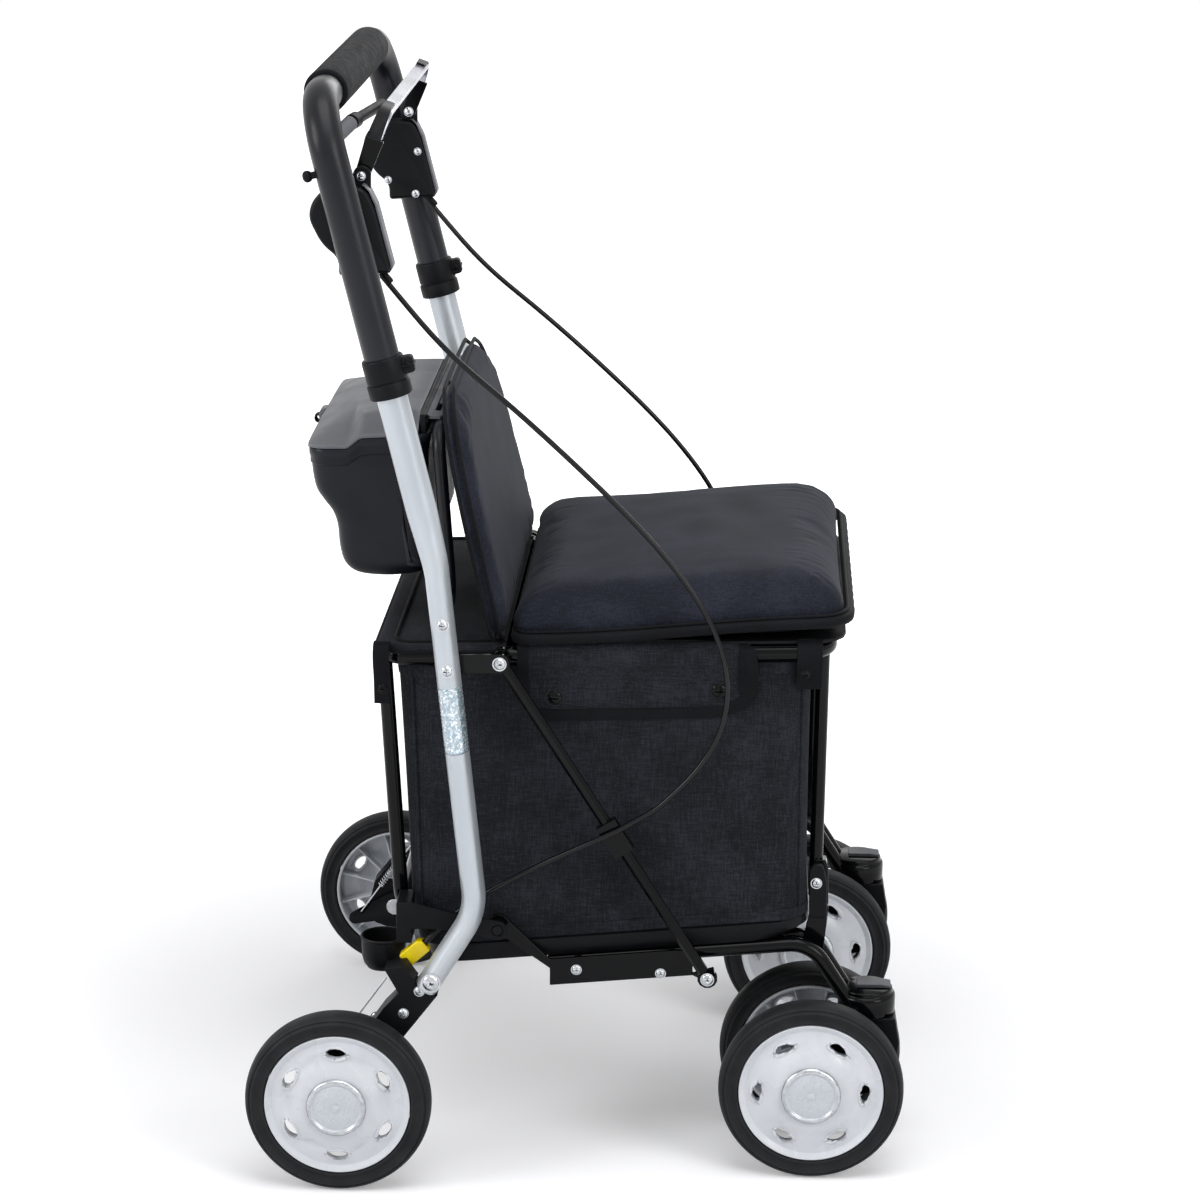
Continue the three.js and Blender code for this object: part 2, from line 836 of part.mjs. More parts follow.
for (const side of sides) {
  const outline = housingShares.map(([back, up]) => [
    housingFront + housingDepth * back,
    housingBottom + housingHeight * up,
  ]);
  const outer = uprightSpread - handleRadius - fitGap;
  const shell = solid(platePrism(outline, side, housingInner, outer));
  const lugOutline = [
    ...arc(pivotSetback, pivotHeight, lugRadius, 0, 180 * deg, 6),
    [pivotSetback - lugRadius, housingBottom + housingHeight * 0.9],
    [pivotSetback + lugRadius, housingBottom + housingHeight * 0.9],
  ];
  const lug = solid(platePrism(lugOutline, side, lugInner, lugInner + lugThick));
  const pinLow = side * (lugInner - armThick - fitGap);
  const pinHigh = side * (lugInner + lugThick / 2);
  const pin = solid(rod(pivotRadius, pinLow, pinHigh, pinSides).translate(0, pivotSetback, pivotHeight));
  add(sideName('brake_housing', side), surface(join(shell, lug, pin)), 'plasticBlack');
}

// Brake lever: a bent flat bar carried by two tapered arms on the housings' pins
function onLever(across, reach, forward = 0) {
  return [
    across,
    pivotSetback - reach * Math.sin(leverLean) - forward * Math.cos(leverLean),
    pivotHeight + reach * Math.cos(leverLean) - forward * Math.sin(leverLean),
  ];
}

const leverArmMiddle = lugInner - fitGap - armThick / 2;
{
  const low = armReach + fitGap;
  const points = [
    onLever(-leverArmMiddle, low - leverReach * 0.55),
    onLever(-leverArmMiddle, leverReach),
    onLever(leverArmMiddle, leverReach),
    onLever(leverArmMiddle, low - leverReach * 0.55),
  ];
  const wide = leverWide / 2;
  const thick = leverThick / 2;
  const section = [[-thick, -wide], [thick, -wide], [thick, wide], [-thick, wide]];
  const half = section.map(([u, v]) => [u, v]);
  const whole = solid(sweep(bentStations(points, leverBend, 6), half));
  const below = sides.map((side) => solid(prismX([
    onLever(0, armReach + fitGap, -leverWide).slice(1),
    onLever(0, armReach + fitGap, leverWide).slice(1),
    onLever(0, -armReach, leverWide).slice(1),
    onLever(0, -armReach, -leverWide).slice(1),
  ], side * leverArmMiddle - leverBend / 2, side * leverArmMiddle + leverBend / 2)));
  add('lever_bar', surface(cut(whole, ...below)), 'steel');
}

for (const side of sides) {
  const outline = [
    ...arc(pivotSetback, pivotHeight, lugRadius * 0.9, 180 * deg, 360 * deg, 6),
    onLever(0, armReach, -leverWide * 0.7).slice(1),
    onLever(0, armReach, leverWide * 0.7).slice(1),
  ];
  const outer = lugInner - fitGap;
  const plate = solid(platePrism(outline, side, outer - armThick, outer));
  const bore = circle(pivotSetback, pivotHeight, boreFor(pivotRadius, pinSides), pinSides);
  const hole = solid(platePrism(bore, side, outer - armThick - overrun, outer + overrun));
  add(sideName('lever_arm', side), surface(cut(plate, hole)), 'plasticBlack');
}

// Seat plane: everything here is drawn from the ring's pin, tilted up towards the front
const seatPlane = new THREE.Group();
seatPlane.position.set(0, seatPinSetback, seatPinHeight);
seatPlane.rotation.set(-seatTilt, 0, 0);
frame.add(seatPlane);

function seatPoint(x, y, z) {
  return new THREE.Vector3(x, y, z).applyMatrix4(seatPlane.matrix);
}
seatPlane.updateMatrix();

{
  const start = eyeRadius + 1;
  const bossAt = bossSetback;
  const hoop = solid(tube([
    [-ringSpread, start, 0],
    [-ringSpread, rearRingDepth, 0],
    [ringSpread, rearRingDepth, 0],
    [ringSpread, start, 0],
  ], ringCorner, ringRadius, ringSides, 5));
  const parts = [];
  for (const side of sides) {
    const bossInner = ringSpread;
    parts.push(solid(rod(bossRadius, side * bossInner, side * laneOuter, pinSides).translate(0, bossAt, 0)));
    parts.push(solid(rod(pinRadius, side * (ringSpread - ringRadius), side * laneOuter, pinSides)));
    const outline = [
      ...arc(0, 0, eyeRadius, 90 * deg, 270 * deg, 6),
      ...arc(bossAt, 0, eyeRadius, -90 * deg, 90 * deg, 6),
    ];
    parts.push(solid(platePrism(outline, side, laneInner, laneOuter)));
  }
  add('rear_ring', surface(join(hoop, ...parts)), 'glossBlack', seatPlane);
}

{
  const bow = solid(tube([
    [-ringSpread, -eyeRadius / 2, 0],
    [-ringSpread, -seatLength, 0],
    [ringSpread, -seatLength, 0],
    [ringSpread, -eyeRadius / 2, 0],
  ], ringCorner, ringRadius, ringSides, 5));
  const eyes = sides.map((side) => solid(rod(
    eyeRadius,
    side * (ringSpread - ringRadius),
    side * (ringSpread + ringRadius),
    pinSides,
  )));
  const holes = sides.map((side) => solid(rod(
    boreFor(pinRadius, pinSides),
    side * (ringSpread - ringRadius - overrun),
    side * (ringSpread + ringRadius + overrun),
    pinSides,
  )));
  add('front_ring', surface(cut(join(bow, ...eyes), ...holes)), 'glossBlack', seatPlane);
}

// Seat board and the crowned seat cushion on it
const boardFoot = ringRadius + fitGap;
const boardFront = -seatLength - boardOverhang;
{
  const outline = roundedRectangle(boardHalf, boardFront, boardRear, cushionCorner - boardThick, 4);
  add('seat_board', prismZ(outline, boardFoot, boardFoot + boardThick), 'plasticBlack', seatPlane);
}

// Rings of a crowned cushion: share of the drawn-in width, share of the height
const crownShares = [
  [0.0, 0.0],
  [-0.008, 0.16],
  [0.012, 0.42],
  [0.04, 0.66],
  [0.095, 0.83],
  [0.2, 0.93],
  [0.45, 0.985],
  [0.72, 1.0],
];

{
  const foot = boardFoot + boardThick + fitGap;
  const rings = crownShares.map(([inset, up]) => {
    const drawn = cushionHalf * inset;
    const middle = (cushionRear + cushionFront) / 2;
    const halfLong = (cushionRear - cushionFront) / 2;
    const shrink = 1 - inset;
    const outline = roundedRectangle(
      cushionHalf - drawn,
      middle - halfLong * shrink,
      middle + halfLong * shrink,
      cushionCorner * Math.max(shrink, 0.4),
      5,
    );
    return outline.map(([x, y]) => new THREE.Vector3(x, y, foot + cushionThick * up));
  });
  add('seat_cushion', loft(rings), 'fabric', seatPlane);
}

// Rear hoop under the rear ring, and side brackets that tie it to the uprights
{
  const ringUnder = seatPoint(0, hoopTopSetback - seatPinSetback, -ringRadius);
  const topZ = ringUnder.z - fitGap;
  const points = [
    [-hoopSpread, hoopTopSetback, topZ],
    [-hoopSpread, hoopFootSetback, hoopFootHeight],
    [hoopSpread, hoopFootSetback, hoopFootHeight],
    [hoopSpread, hoopTopSetback, topZ],
  ];
  add('rear_hoop', tube(points, hoopCorner, hoopRadius, ringSides, 4), 'tubeBlack');
}

for (const side of sides) {
  const outline = [
    ...arc(deckPinSetback, deckPinHeight, eyeRadius, 90 * deg, 270 * deg, 6),
    [kneeSetback + ovalHalfDeep, bracketWaist],
    [clawRear, bracketWaist],
    [clawRear, bracketHead],
    [clawFront, bracketHead],
    [kneeSetback + ovalHalfDeep, bracketBrow],
  ];
  const plate = solid(platePrism(outline, side, laneInner, laneOuter));
  const clawOutline = [
    [clawFront, bracketFoot],
    [clawRear, bracketFoot],
    [clawRear, bracketHead],
    [clawFront, bracketHead],
  ];
  const clawInner = hoopSpread + hoopRadius + fitGap;
  const claw = solid(platePrism(clawOutline, side, clawInner, laneOuter));
  const bore = circle(deckPinSetback, deckPinHeight, boreFor(axleRadius, pinSides), pinSides);
  const hole = solid(platePrism(bore, side, laneInner - overrun, laneOuter + overrun));
  add(sideName('side_bracket', side), surface(cut(join(plate, claw), hole)), 'plasticBlack');
}

{
  const floor = bracketFoot - fitGap - cupHeight;
  const points = [
    [0, 0],
    [cupRadius * 0.72, 0],
    [cupRadius, cupHeight * 0.4],
    [cupRadius, cupHeight],
    [cupRadius - cupWall, cupHeight],
    [cupRadius - cupWall, cupHeight * 0.4],
    [cupRadius * 0.72 - cupWall, cupWall],
    [0, cupWall],
  ];
  const cup = new THREE.LatheGeometry(points.map(([r, z]) => new THREE.Vector2(r, z)), cupSides);
  cup.rotateX(90 * deg).translate(-cupSpread, cupSetback, floor);
  add('stick_cup', cup, 'plasticBlack');
}

// Backrest: a bent tube held on the uprights, and a crowned pad in front of it
{
  const points = [
    [-laneOuter, restFootSetback, restFootHeight],
    [-restSpread, restFootSetback, restFootHeight],
    [-restSpread, restTopSetback, restTopHeight],
    [restSpread, restTopSetback, restTopHeight],
    [restSpread, restFootSetback, restFootHeight],
    [laneOuter, restFootSetback, restFootHeight],
  ];
  add('backrest_frame', tube(points, restBend, hoopTube, ringSides, 4), 'tubeBlack');
}

// The pad's half outline: shares of its half width and of its height, from the foot to the top
const padOutlineShares = [
  [0.93, 0.0],
  [0.985, 0.025],
  [1.0, 0.07],
  [0.99, 0.3],
  [0.96, 0.52],
  [0.915, 0.7],
  [0.845, 0.83],
  [0.74, 0.925],
  [0.6, 0.98],
  [0.45, 1.0],
];

// Rings of the pad from its flat back to its crown: share drawn in, share of the crown's depth
const padCrownShares = [
  [0.03, -padBack / padCrown],
  [0.0, 0.0],
  [0.012, 0.3],
  [0.05, 0.62],
  [0.13, 0.84],
  [0.3, 0.95],
  [0.65, 1.0],
];

{
  const rest = new THREE.Group();
  rest.position.set(0, padSetback, padFoot);
  rest.rotation.set(-padTilt, 0, 0);
  frame.add(rest);
  const middle = padHeight / 2;
  const rings = padCrownShares.map(([inset, depth]) => {
    const half = padOutlineShares.map(([across, up]) => [
      across * padHalf - inset * middle * 1.2,
      middle + (up * padHeight - middle) * (1 - inset),
    ]);
    const other = half.map(([x, z]) => [-x, z]).reverse();
    return [...half, ...other].map(([x, z]) => new THREE.Vector3(x, -padCrown * depth, z));
  });
  add('backrest_pad', loft(rings), 'fabric', rest);
}

// Rear box: a thin-walled tub hung on the backrest tube, with a stepped, sloping lid
const boxDepth = boxRear - boxFront;
const boxTall = boxRim - boxFloor;
const boxProfileShares = [
  [1, 0.05],
  [0.73, 0.009],
  [0.49, 0],
  [0.36, 0.07],
  [0.245, 0.25],
  [0.19, 0.54],
  [0.054, 0.74],
  [0.018, 1.0],
];
// The rim of the tub and the lid's lower edge: share of the depth from the rear, share of the lid's height
const rimShares = [
  [0.018, 0],
  [0.33, 0.013],
  [0.45, 0.33],
  [0.93, 0.54],
];
const lidTopShares = [
  [0.93, 1.0],
  [0.77, 1.0],
  [0.5, 0.91],
  [0.15, 0.58],
  [0.0, 0.33],
  [-0.01, 0.06],
];

{
  const rimZ = (up) => mix(boxRim, lidTop, up);
  const backY = (share) => boxRear - boxDepth * share;
  const lower = boxProfileShares.map(([back, up]) => [backY(back), boxFloor + boxTall * up]);
  const upper = rimShares.slice(1).map(([back, up]) => [backY(back), rimZ(up)]);
  const wallBack = backY(0.93);
  const innerFront = boxFront + boxWall;
  const body = [...lower, ...upper, [wallBack - fitGap, boxFrontTop], [boxFront, boxFrontTop]];
  body[lower.length + upper.length - 1] = [wallBack - fitGap, rimZ(rimShares[3][1])];
  const innerLow = boxProfileShares.map(([back, up], i) => [
    backY(back) + boxWall * (i < 3 ? 0.5 : -1) * (i === 0 ? 2 : 1),
    boxFloor + boxTall * up + (i < 4 ? boxWall : 0),
  ]);
  const cavity = [...innerLow, [backY(0.018) - boxWall, lidTop + overrun], [innerFront, lidTop + overrun]];
  cavity[0] = [innerFront, boxFloor + boxTall * 0.05 + boxWall];
  const tub = solid(prismX(body, -boxHalf, boxHalf));
  const hollow = solid(prismX(cavity, boxWall - boxHalf, boxHalf - boxWall));
  const flangeFoot = restTopHeight + hoopTube + fitGap;
  const flange = solid(prismX([
    [boxFront + boxWall, flangeFoot],
    [boxFront + boxWall, flangeFoot + flangeThick],
    [boxFront - flangeReach, flangeFoot + flangeThick],
    [boxFront - flangeReach, flangeFoot],
  ], -flangeHalf, flangeHalf));
  add('box_body', surface(join(cut(tub, hollow), flange)), 'boxBody');

  const edge = rimShares.map(([back, up]) => [backY(back), rimZ(up) + fitGap * 1.4]);
  edge[3] = [lidFront, edge[3][1]];
  edge[0] = [backY(-0.01), edge[0][1]];
  const roof = lidTopShares.map(([back, up]) => [backY(back), rimZ(up)]);
  roof[0] = [lidFront, lidTop];
  roof.pop();
  const lidOutline = [...edge, ...roof];
  const pocket = [
    [edge[0][0] - boxWall, edge[0][1] - overrun],
    [lidFront + boxWall, edge[0][1] - overrun],
    [lidFront + boxWall, lidTop - boxWall],
    [backY(0.77), lidTop - boxWall],
    [backY(0.5), rimZ(0.91) - boxWall],
    [backY(0.15), rimZ(0.58) - boxWall],
    [edge[0][0] - boxWall, rimZ(0.33) - boxWall],
  ];
  const shell = solid(prismX(lidOutline, -boxHalf, boxHalf));
  const inside = solid(prismX(pocket, boxWall - boxHalf, boxHalf - boxWall));
  const latch = solid(prismX([
    [boxRear - boxWall, rimZ(0.03) + fitGap * 2],
    [boxRear + latchReach, rimZ(0.03) + fitGap * 2],
    [boxRear + latchReach, rimZ(0.25)],
    [boxRear - boxWall, rimZ(0.3)],
  ], -latchHalf, latchHalf));
  add('box_lid', surface(join(cut(shell, inside), latch)), 'boxLid');
}

// Deck: twin tubes over each caster, caster heads, channels with the fold pins, posts for the poles
function deckLine(y, rise) {
  return deckTubeLine + (deckTubeLineSetback - y) * Math.tan(deckTilt) + rise;
}

const casterSpread = casterTrack / 2;
const swivelSetback = -(wheelbase + casterTrail);
const poleFoot = [deckPinSetback - linkRun, deckPinHeight + linkRise];
const postHeel = Math.max(poleFoot[0] + eyeRadius * 1.6, deckTubeNose + postLap);
{
  const parts = [];
  for (const side of sides) {
    for (const offset of [-deckTubePitch / 2, deckTubePitch / 2]) {
      const x = side * casterSpread + offset;
      parts.push(solid(tube([
        [x, deckTubeRear, deckLine(deckTubeRear, 0)],
        [x, deckTubeNose, deckLine(deckTubeNose, 0)],
        [x, deckTubeTip, deckTubeDrop],
      ], deckTubeBend, deckTubeRadius, ringSides, 5)));
    }
    const head = solid(prismZ(circle(side * casterSpread, swivelSetback, headRadius, headSides), headBottom, headTop));
    parts.push(head);
    const rear = [channelRear, deckLine(channelRear, -deckTubeRadius - channelDepth / 2)];
    const plateOutline = [
      ...arc(deckPinSetback, deckPinHeight, eyeRadius, 0, 150 * deg, 5),
      [channelRear, deckLine(channelRear, deckTubeRadius)],
      [channelFront, deckLine(channelFront, deckTubeRadius)],
      [channelFront, deckLine(channelFront, deckTubeRadius - channelDepth)],
      [bracePinSetback - eyeRadius * 0.6, bracePinHeight + eyeRadius * 0.7],
      [bracePinSetback - eyeRadius * 0.6, bracePinHeight - eyeRadius * 0.7],
      [channelFront, deckLine(channelFront, deckTubeRadius - channelDepth - 2)],
      rear,
      [channelRear, deckLine(channelRear, -deckTubeRadius * 0.3)],
      [deckPinSetback, deckPinHeight - eyeRadius],
    ];
    parts.push(solid(platePrism(plateOutline, side, channelInner, channelInner + channelThick)));
    const pinOuter = laneOuter - fitGap;
    const hookPin = rod(pinRadius, side * channelInner, side * (braceSpread + braceEyeThick), pinSides);
    parts.push(solid(hookPin.translate(0, bracePinSetback, bracePinHeight)));
    const deckPin = rod(axleRadius, side * channelInner, side * pinOuter, pinSides);
    parts.push(solid(deckPin.translate(0, deckPinSetback, deckPinHeight)));
    for (const share of [0.2, 0.85]) {
      const y = mix(channelRear, channelFront, share);
      const inner = casterSpread + deckTubePitch / 2;
      const boss = rod(bossRadius, side * inner, side * (channelInner + channelThick / 2), pinSides);
      parts.push(solid(boss.translate(0, y, deckLine(y, 0))));
    }
    const postOutline = [
      ...arc(poleFoot[0], poleFoot[1], eyeRadius * 0.9, 0, 180 * deg, 6),
      [poleFoot[0] - eyeRadius * 0.5, deckLine(poleFoot[0], -deckTubeRadius * 2)],
      [postHeel, deckLine(postHeel, -deckTubeRadius * 0.5)],
    ];
    parts.push(solid(platePrism(postOutline, side, postInner, postInner + postThick)));
    const polePin = rod(pinRadius, side * (poleSpread - poleRadius), side * (postInner + postThick / 2), pinSides);
    parts.push(solid(polePin.translate(0, poleFoot[0], poleFoot[1])));
  }
  for (const y of [crossFront, crossRear]) {
    const z = deckLine(y, 0);
    parts.push(solid(rod(deckTubeRadius * 0.9, -casterSpread, casterSpread, ringSides).translate(0, y, z)));
  }
  const whole = join(...parts);
  const sockets = sides.map((side) => solid(prismZ(
    circle(side * casterSpread, swivelSetback, boreFor(stemRadius, headSides), headSides),
    headBottom - overrun,
    headBottom + stemLength + fitGap,
  )));
  add('base_frame', surface(cut(whole, ...sockets)), 'tubeBlack');
}

// Tray: a rounded shell open below, on the deck tubes
const trayFoot = deckTubeRadius + fitGap;
{
  const sideOutline = [
    [trayRear, deckLine(trayRear, trayFoot)],
    [trayRear, deckLine(trayRear, trayFoot + trayThick)],
    [trayFront, deckLine(trayFront, trayFoot + trayThick)],
    [trayFront, deckLine(trayFront, trayFoot + trayThick * 0.45)],
    [trayFront + trayThick, deckLine(trayFront + trayThick, trayFoot)],
  ];
  const innerOutline = [
    [trayRear - trayWall, deckLine(trayRear, trayFoot - overrun)],
    [trayRear - trayWall, deckLine(trayRear - trayWall, trayFoot + trayThick - trayWall)],
    [trayFront + trayWall * 2, deckLine(trayFront + trayWall * 2, trayFoot + trayThick - trayWall)],
    [trayFront + trayWall * 2, deckLine(trayFront + trayWall * 2, trayFoot + trayThick * 0.45)],
    [trayFront + trayThick + trayWall, deckLine(trayFront + trayThick + trayWall, trayFoot - overrun)],
  ];
  const low = deckPinHeight - headTop;
  const high = seatPinHeight;
  const plan = solid(prismZ(roundedRectangle(trayHalf, trayFront, trayRear, trayCorner, 4), low, high));
  const planInner = solid(prismZ(
    roundedRectangle(trayHalf - trayWall, trayFront + trayWall, trayRear - trayWall, trayCorner - trayWall, 4),
    low,
    high,
  ));
  const slab = solid(prismX(sideOutline, -trayHalf, trayHalf)).intersect(plan);
  const under = solid(prismX(innerOutline, -trayHalf, trayHalf)).intersect(planInner);
  add('tray', surface(cut(slab, under)), 'plasticBlack');
}

// Bag: a soft tub that hangs under the seat rings and stands on the tray
{
  const foot = trayFoot + trayThick + fitGap;
  const topAt = (y) => seatPoint(0, y - seatPinSetback, -eyeRadius).z - fitGap;
  const outline = [
    [bagRear, deckLine(bagRear, foot)],
    [bagRear, topAt(bagRear)],
    [bagFront, topAt(bagFront)],
    [bagFront, deckLine(bagFront, foot)],
  ];
  const inner = [
    [bagRear - bagWall, deckLine(bagRear - bagWall, foot + bagWall)],
    [bagRear - bagWall, topAt(bagRear) + overrun],
    [bagFront + bagWall, topAt(bagFront) + overrun],
    [bagFront + bagWall, deckLine(bagFront + bagWall, foot + bagWall)],
  ];
  const low = deckPinHeight - headTop;
  const high = seatPinHeight + ringSpread;
  const plan = solid(prismZ(roundedRectangle(bagHalf, bagFront, bagRear, bagCorner, 4), low, high));
  const planInner = solid(prismZ(
    roundedRectangle(bagHalf - bagWall, bagFront + bagWall, bagRear - bagWall, bagCorner - bagWall, 4),
    low,
    high,
  ));
  const whole = solid(prismX(outline, -bagHalf, bagHalf)).intersect(plan);
  const hollow = solid(prismX(inner, -bagHalf, bagHalf)).intersect(planInner);
  add('bag', surface(cut(whole, hollow)), 'bagFabric');
}

// Front poles: they stand on the deck's posts and reach up under the front bar of the ring
for (const side of sides) {
  const bowAt = seatPoint(0, -seatLength, 0);
  const up = new THREE.Vector3(0, bowAt.y - poleFoot[0], bowAt.z - poleFoot[1]);
  const reach = up.length() - ringRadius - 2 * fitGap;
  up.normalize();
  const at = (distance) => [side * poleSpread, poleFoot[0] + up.y * distance, poleFoot[1] + up.z * distance];
  const pole = solid(bar(at(eyeRadius), at(reach), poleRadius, ringSides));
  const blockWide = poleRadius * 1.05;
  const blockOutline = [
    ...arc(poleFoot[0], poleFoot[1], eyeRadius * 0.9, 180 * deg, 360 * deg, 5),
    [poleFoot[0] + blockWide, poleFoot[1] + poleBlock],
    [poleFoot[0] - blockWide, poleFoot[1] + poleBlock],
  ];
  const block = solid(platePrism(blockOutline, side, poleSpread - poleRadius, poleSpread + poleRadius));
  const bore = circle(poleFoot[0], poleFoot[1], boreFor(pinRadius, pinSides), pinSides);
  const hole = solid(platePrism(bore, side, poleSpread - poleRadius - overrun, poleSpread + poleRadius + overrun));
  add(sideName('front_pole', side), surface(cut(join(pole, block), hole)), 'tubeBlack');
}

// Braces: diagonal stays hinged at the ring's pins; each hooks behind a pin on the deck's channel.
// The hook's mouth is the way the pin takes out of it as the deck folds up and the brace swings back.
function swung(point, pivot, angle) {
  const y = point[0] - pivot[0];
  const z = point[1] - pivot[1];
  return [
    pivot[0] + y * Math.cos(angle) + z * Math.sin(angle),
    pivot[1] - y * Math.sin(angle) + z * Math.cos(angle),
  ];
}

function hookPath() {
  const deckPivot = [deckPinSetback, deckPinHeight];
  const bracePivot = [seatPinSetback, seatPinHeight];
  const deckReach = Math.hypot(bracePinSetback - deckPinSetback, bracePinHeight - deckPinHeight);
  const braceReach = Math.hypot(bracePinSetback - seatPinSetback, bracePinHeight - seatPinHeight);
  const braceFollow = -braceFollowShare * (deckReach / braceReach);
  return Array.from({ length: hookSteps + 1 }, (_, i) => {
    const fold = (hookRelease * i) / hookSteps;
    const pin = swung([bracePinSetback, bracePinHeight], deckPivot, fold);
    return swung(pin, bracePivot, -braceFollow * fold);
  });
}

for (const side of sides) {
  const top = new THREE.Vector2(seatPinSetback, seatPinHeight);
  const foot = new THREE.Vector2(bracePinSetback, bracePinHeight);
  const down = foot.clone().sub(top).normalize();
  const ahead = new THREE.Vector2(down.y, -down.x);
  const on = (distance, forward) => [
    top.x + down.x * distance + ahead.x * forward,
    top.y + down.y * distance + ahead.y * forward,
  ];
  const length = foot.distanceTo(top);
  const inner = braceSpread - braceEyeThick / 2;
  const outer = braceSpread + braceEyeThick / 2;
  const eye = solid(platePrism(circle(top.x, top.y, eyeRadius, pinSides), side, inner, outer));
  const point = (distance) => [side * braceSpread, ...on(distance, 0)];
  const stay = solid(bar(point(eyeRadius * 0.6), point(length - eyeRadius * 0.75), braceRadius, braceSides));
  const hook = solid(platePrism(circle(...on(length, 0), eyeRadius, pinSides), side, inner, outer));
  const path = hookPath();
  const clear = boreFor(pinRadius, pinSides);
  const mouths = path.map(([y, z], i) => {
    const [fromY, fromZ] = path[Math.max(i - 1, 0)];
    const run = new THREE.Vector2(y - fromY, z - fromZ);
    const round = solid(platePrism(circle(y, z, clear, pinSides), side, inner - overrun, outer + overrun));
    if (run.length() === 0) {
      return round;
    }
    run.normalize().multiplyScalar(clear);
    const slot = solid(platePrism([
      [fromY - run.y, fromZ + run.x],
      [fromY + run.y, fromZ - run.x],
      [y + run.y, z - run.x],
      [y - run.y, z + run.x],
    ], side, inner - overrun, outer + overrun));
    return join(round, slot);
  });
  const clipAt = length * clipShare;
  const clip = solid(platePrism([
    on(clipAt - clipHalfLong, -clipHalfDeep),
    on(clipAt + clipHalfLong, -clipHalfDeep),
    on(clipAt + clipHalfLong, clipHalfDeep),
    on(clipAt - clipHalfLong, clipHalfDeep),
  ], side, inner, clipOuter));
  const bore = circle(top.x, top.y, boreFor(pinRadius, pinSides), pinSides);
  const hole = solid(platePrism(bore, side, inner - overrun, outer + overrun));
  const whole = cut(join(eye, stay, hook, clip), hole, ...mouths);
  add(sideName('brace', side), surface(whole), 'tubeBlack');
}

// Casters: a fork between twin wheels, turning on a stem in the caster head
for (const side of sides) {
  const forkTop = headBottom - fitGap;
  const outline = [
    [swivelSetback - headRadius, forkTop],
    [swivelSetback - forkNose, mix(axleHeight, forkTop, 0.6)],
    [swivelSetback - forkNose * 0.9, mix(axleHeight, forkTop, 0.15)],
    [swivelSetback - forkNose * 0.4, axleHeight - forkHubRadius * 0.6],
    [-wheelbase - forkHubRadius * 0.35, axleHeight - forkHubRadius],
    [-wheelbase + forkHubRadius * 0.6, axleHeight - forkHubRadius * 0.8],
    [-wheelbase + forkHubRadius, axleHeight],
    [-wheelbase + forkHubRadius * 0.5, axleHeight + forkHubRadius * 0.9],
    [swivelSetback + headRadius * 0.95, mix(axleHeight, forkTop, 0.62)],
    [swivelSetback + headRadius * 0.95, forkTop],
  ];
  const half = solid(platePrism(outline, side, casterSpread - forkHalf, casterSpread + forkHalf));
  const stem = solid(prismZ(
    circle(side * casterSpread, swivelSetback, stemRadius, headSides),
    forkTop - overrun,
    headBottom + stemLength,
  ));
  const bore = circle(-wheelbase, axleHeight, boreFor(axleRadius, axleSides), axleSides);
  const hole = solid(platePrism(bore, side, casterSpread - forkHalf - overrun, casterSpread + forkHalf + overrun));
  add(sideName('caster_fork', side), surface(cut(join(half, stem), hole)), 'plasticBlack');

  const reach = twinPitch / 2 + axleReach - fitGap;
  const shaft = rod(axleRadius, side * casterSpread - reach, side * casterSpread + reach, axleSides);
  add(sideName('front_axle', side), shaft.translate(0, -wheelbase, axleHeight), 'steel');

  for (const [label, out] of [['outer', 1], ['inner', -1]]) {
    const x = side * (casterSpread + (out * twinPitch) / 2);
    wheel(`${sideName('front', side)}_${label}`, x, -wheelbase, side * out, 0);
  }

  const tabLow = headTop + fitGap;
  const tabOutline = [
    [swivelSetback + headRadius * 0.35, tabLow],
    [swivelSetback + headRadius * 0.35 - tabLength, tabLow],
    [swivelSetback + headRadius * 0.35 - tabLength, tabLow + tabThick * 0.6],
    [swivelSetback + headRadius * 0.1 - tabLength / 2, tabLow + tabThick],
    [swivelSetback + headRadius * 0.35, tabLow + tabThick],
  ];
  const tab = platePrism(tabOutline, side, casterSpread - tabHalf, casterSpread + tabHalf);
  add(sideName('lock_tab', side), tab, 'tabGrey');
}

// Brake cables: one unbroken cord on each side, from the housing through the adjuster to the brake arm
for (const side of sides) {
  const points = cableRoute.map(([x, y, z]) => new THREE.Vector3(side * x, y, z));
  const stations = points.map((point, i) => {
    const before = points[Math.max(i - 1, 0)];
    const after = points[Math.min(i + 1, points.length - 1)];
    return { point, tangent: after.clone().sub(before).normalize() };
  });
  add(sideName('brake_cable', side), sweep(stations, circle(0, 0, cableRadius, cableSides)), 'plasticBlack');
}

// The origin is on the floor under the middle of the part
frame.position.set(0, wheelbase / 2, 0);
trolley.updateMatrixWorld(true);

export default trolley;
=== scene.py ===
"""Seat trolley with brakes: its looks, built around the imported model.

Sizes are millimetres in the axle frame: X across, forward is minus Y, Z up from the floor,
with Y = 0 at the rear axle. row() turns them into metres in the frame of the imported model.
"""

import json
import math

import bmesh
import bpy
import numpy as np
from mathutils import Matrix, Vector

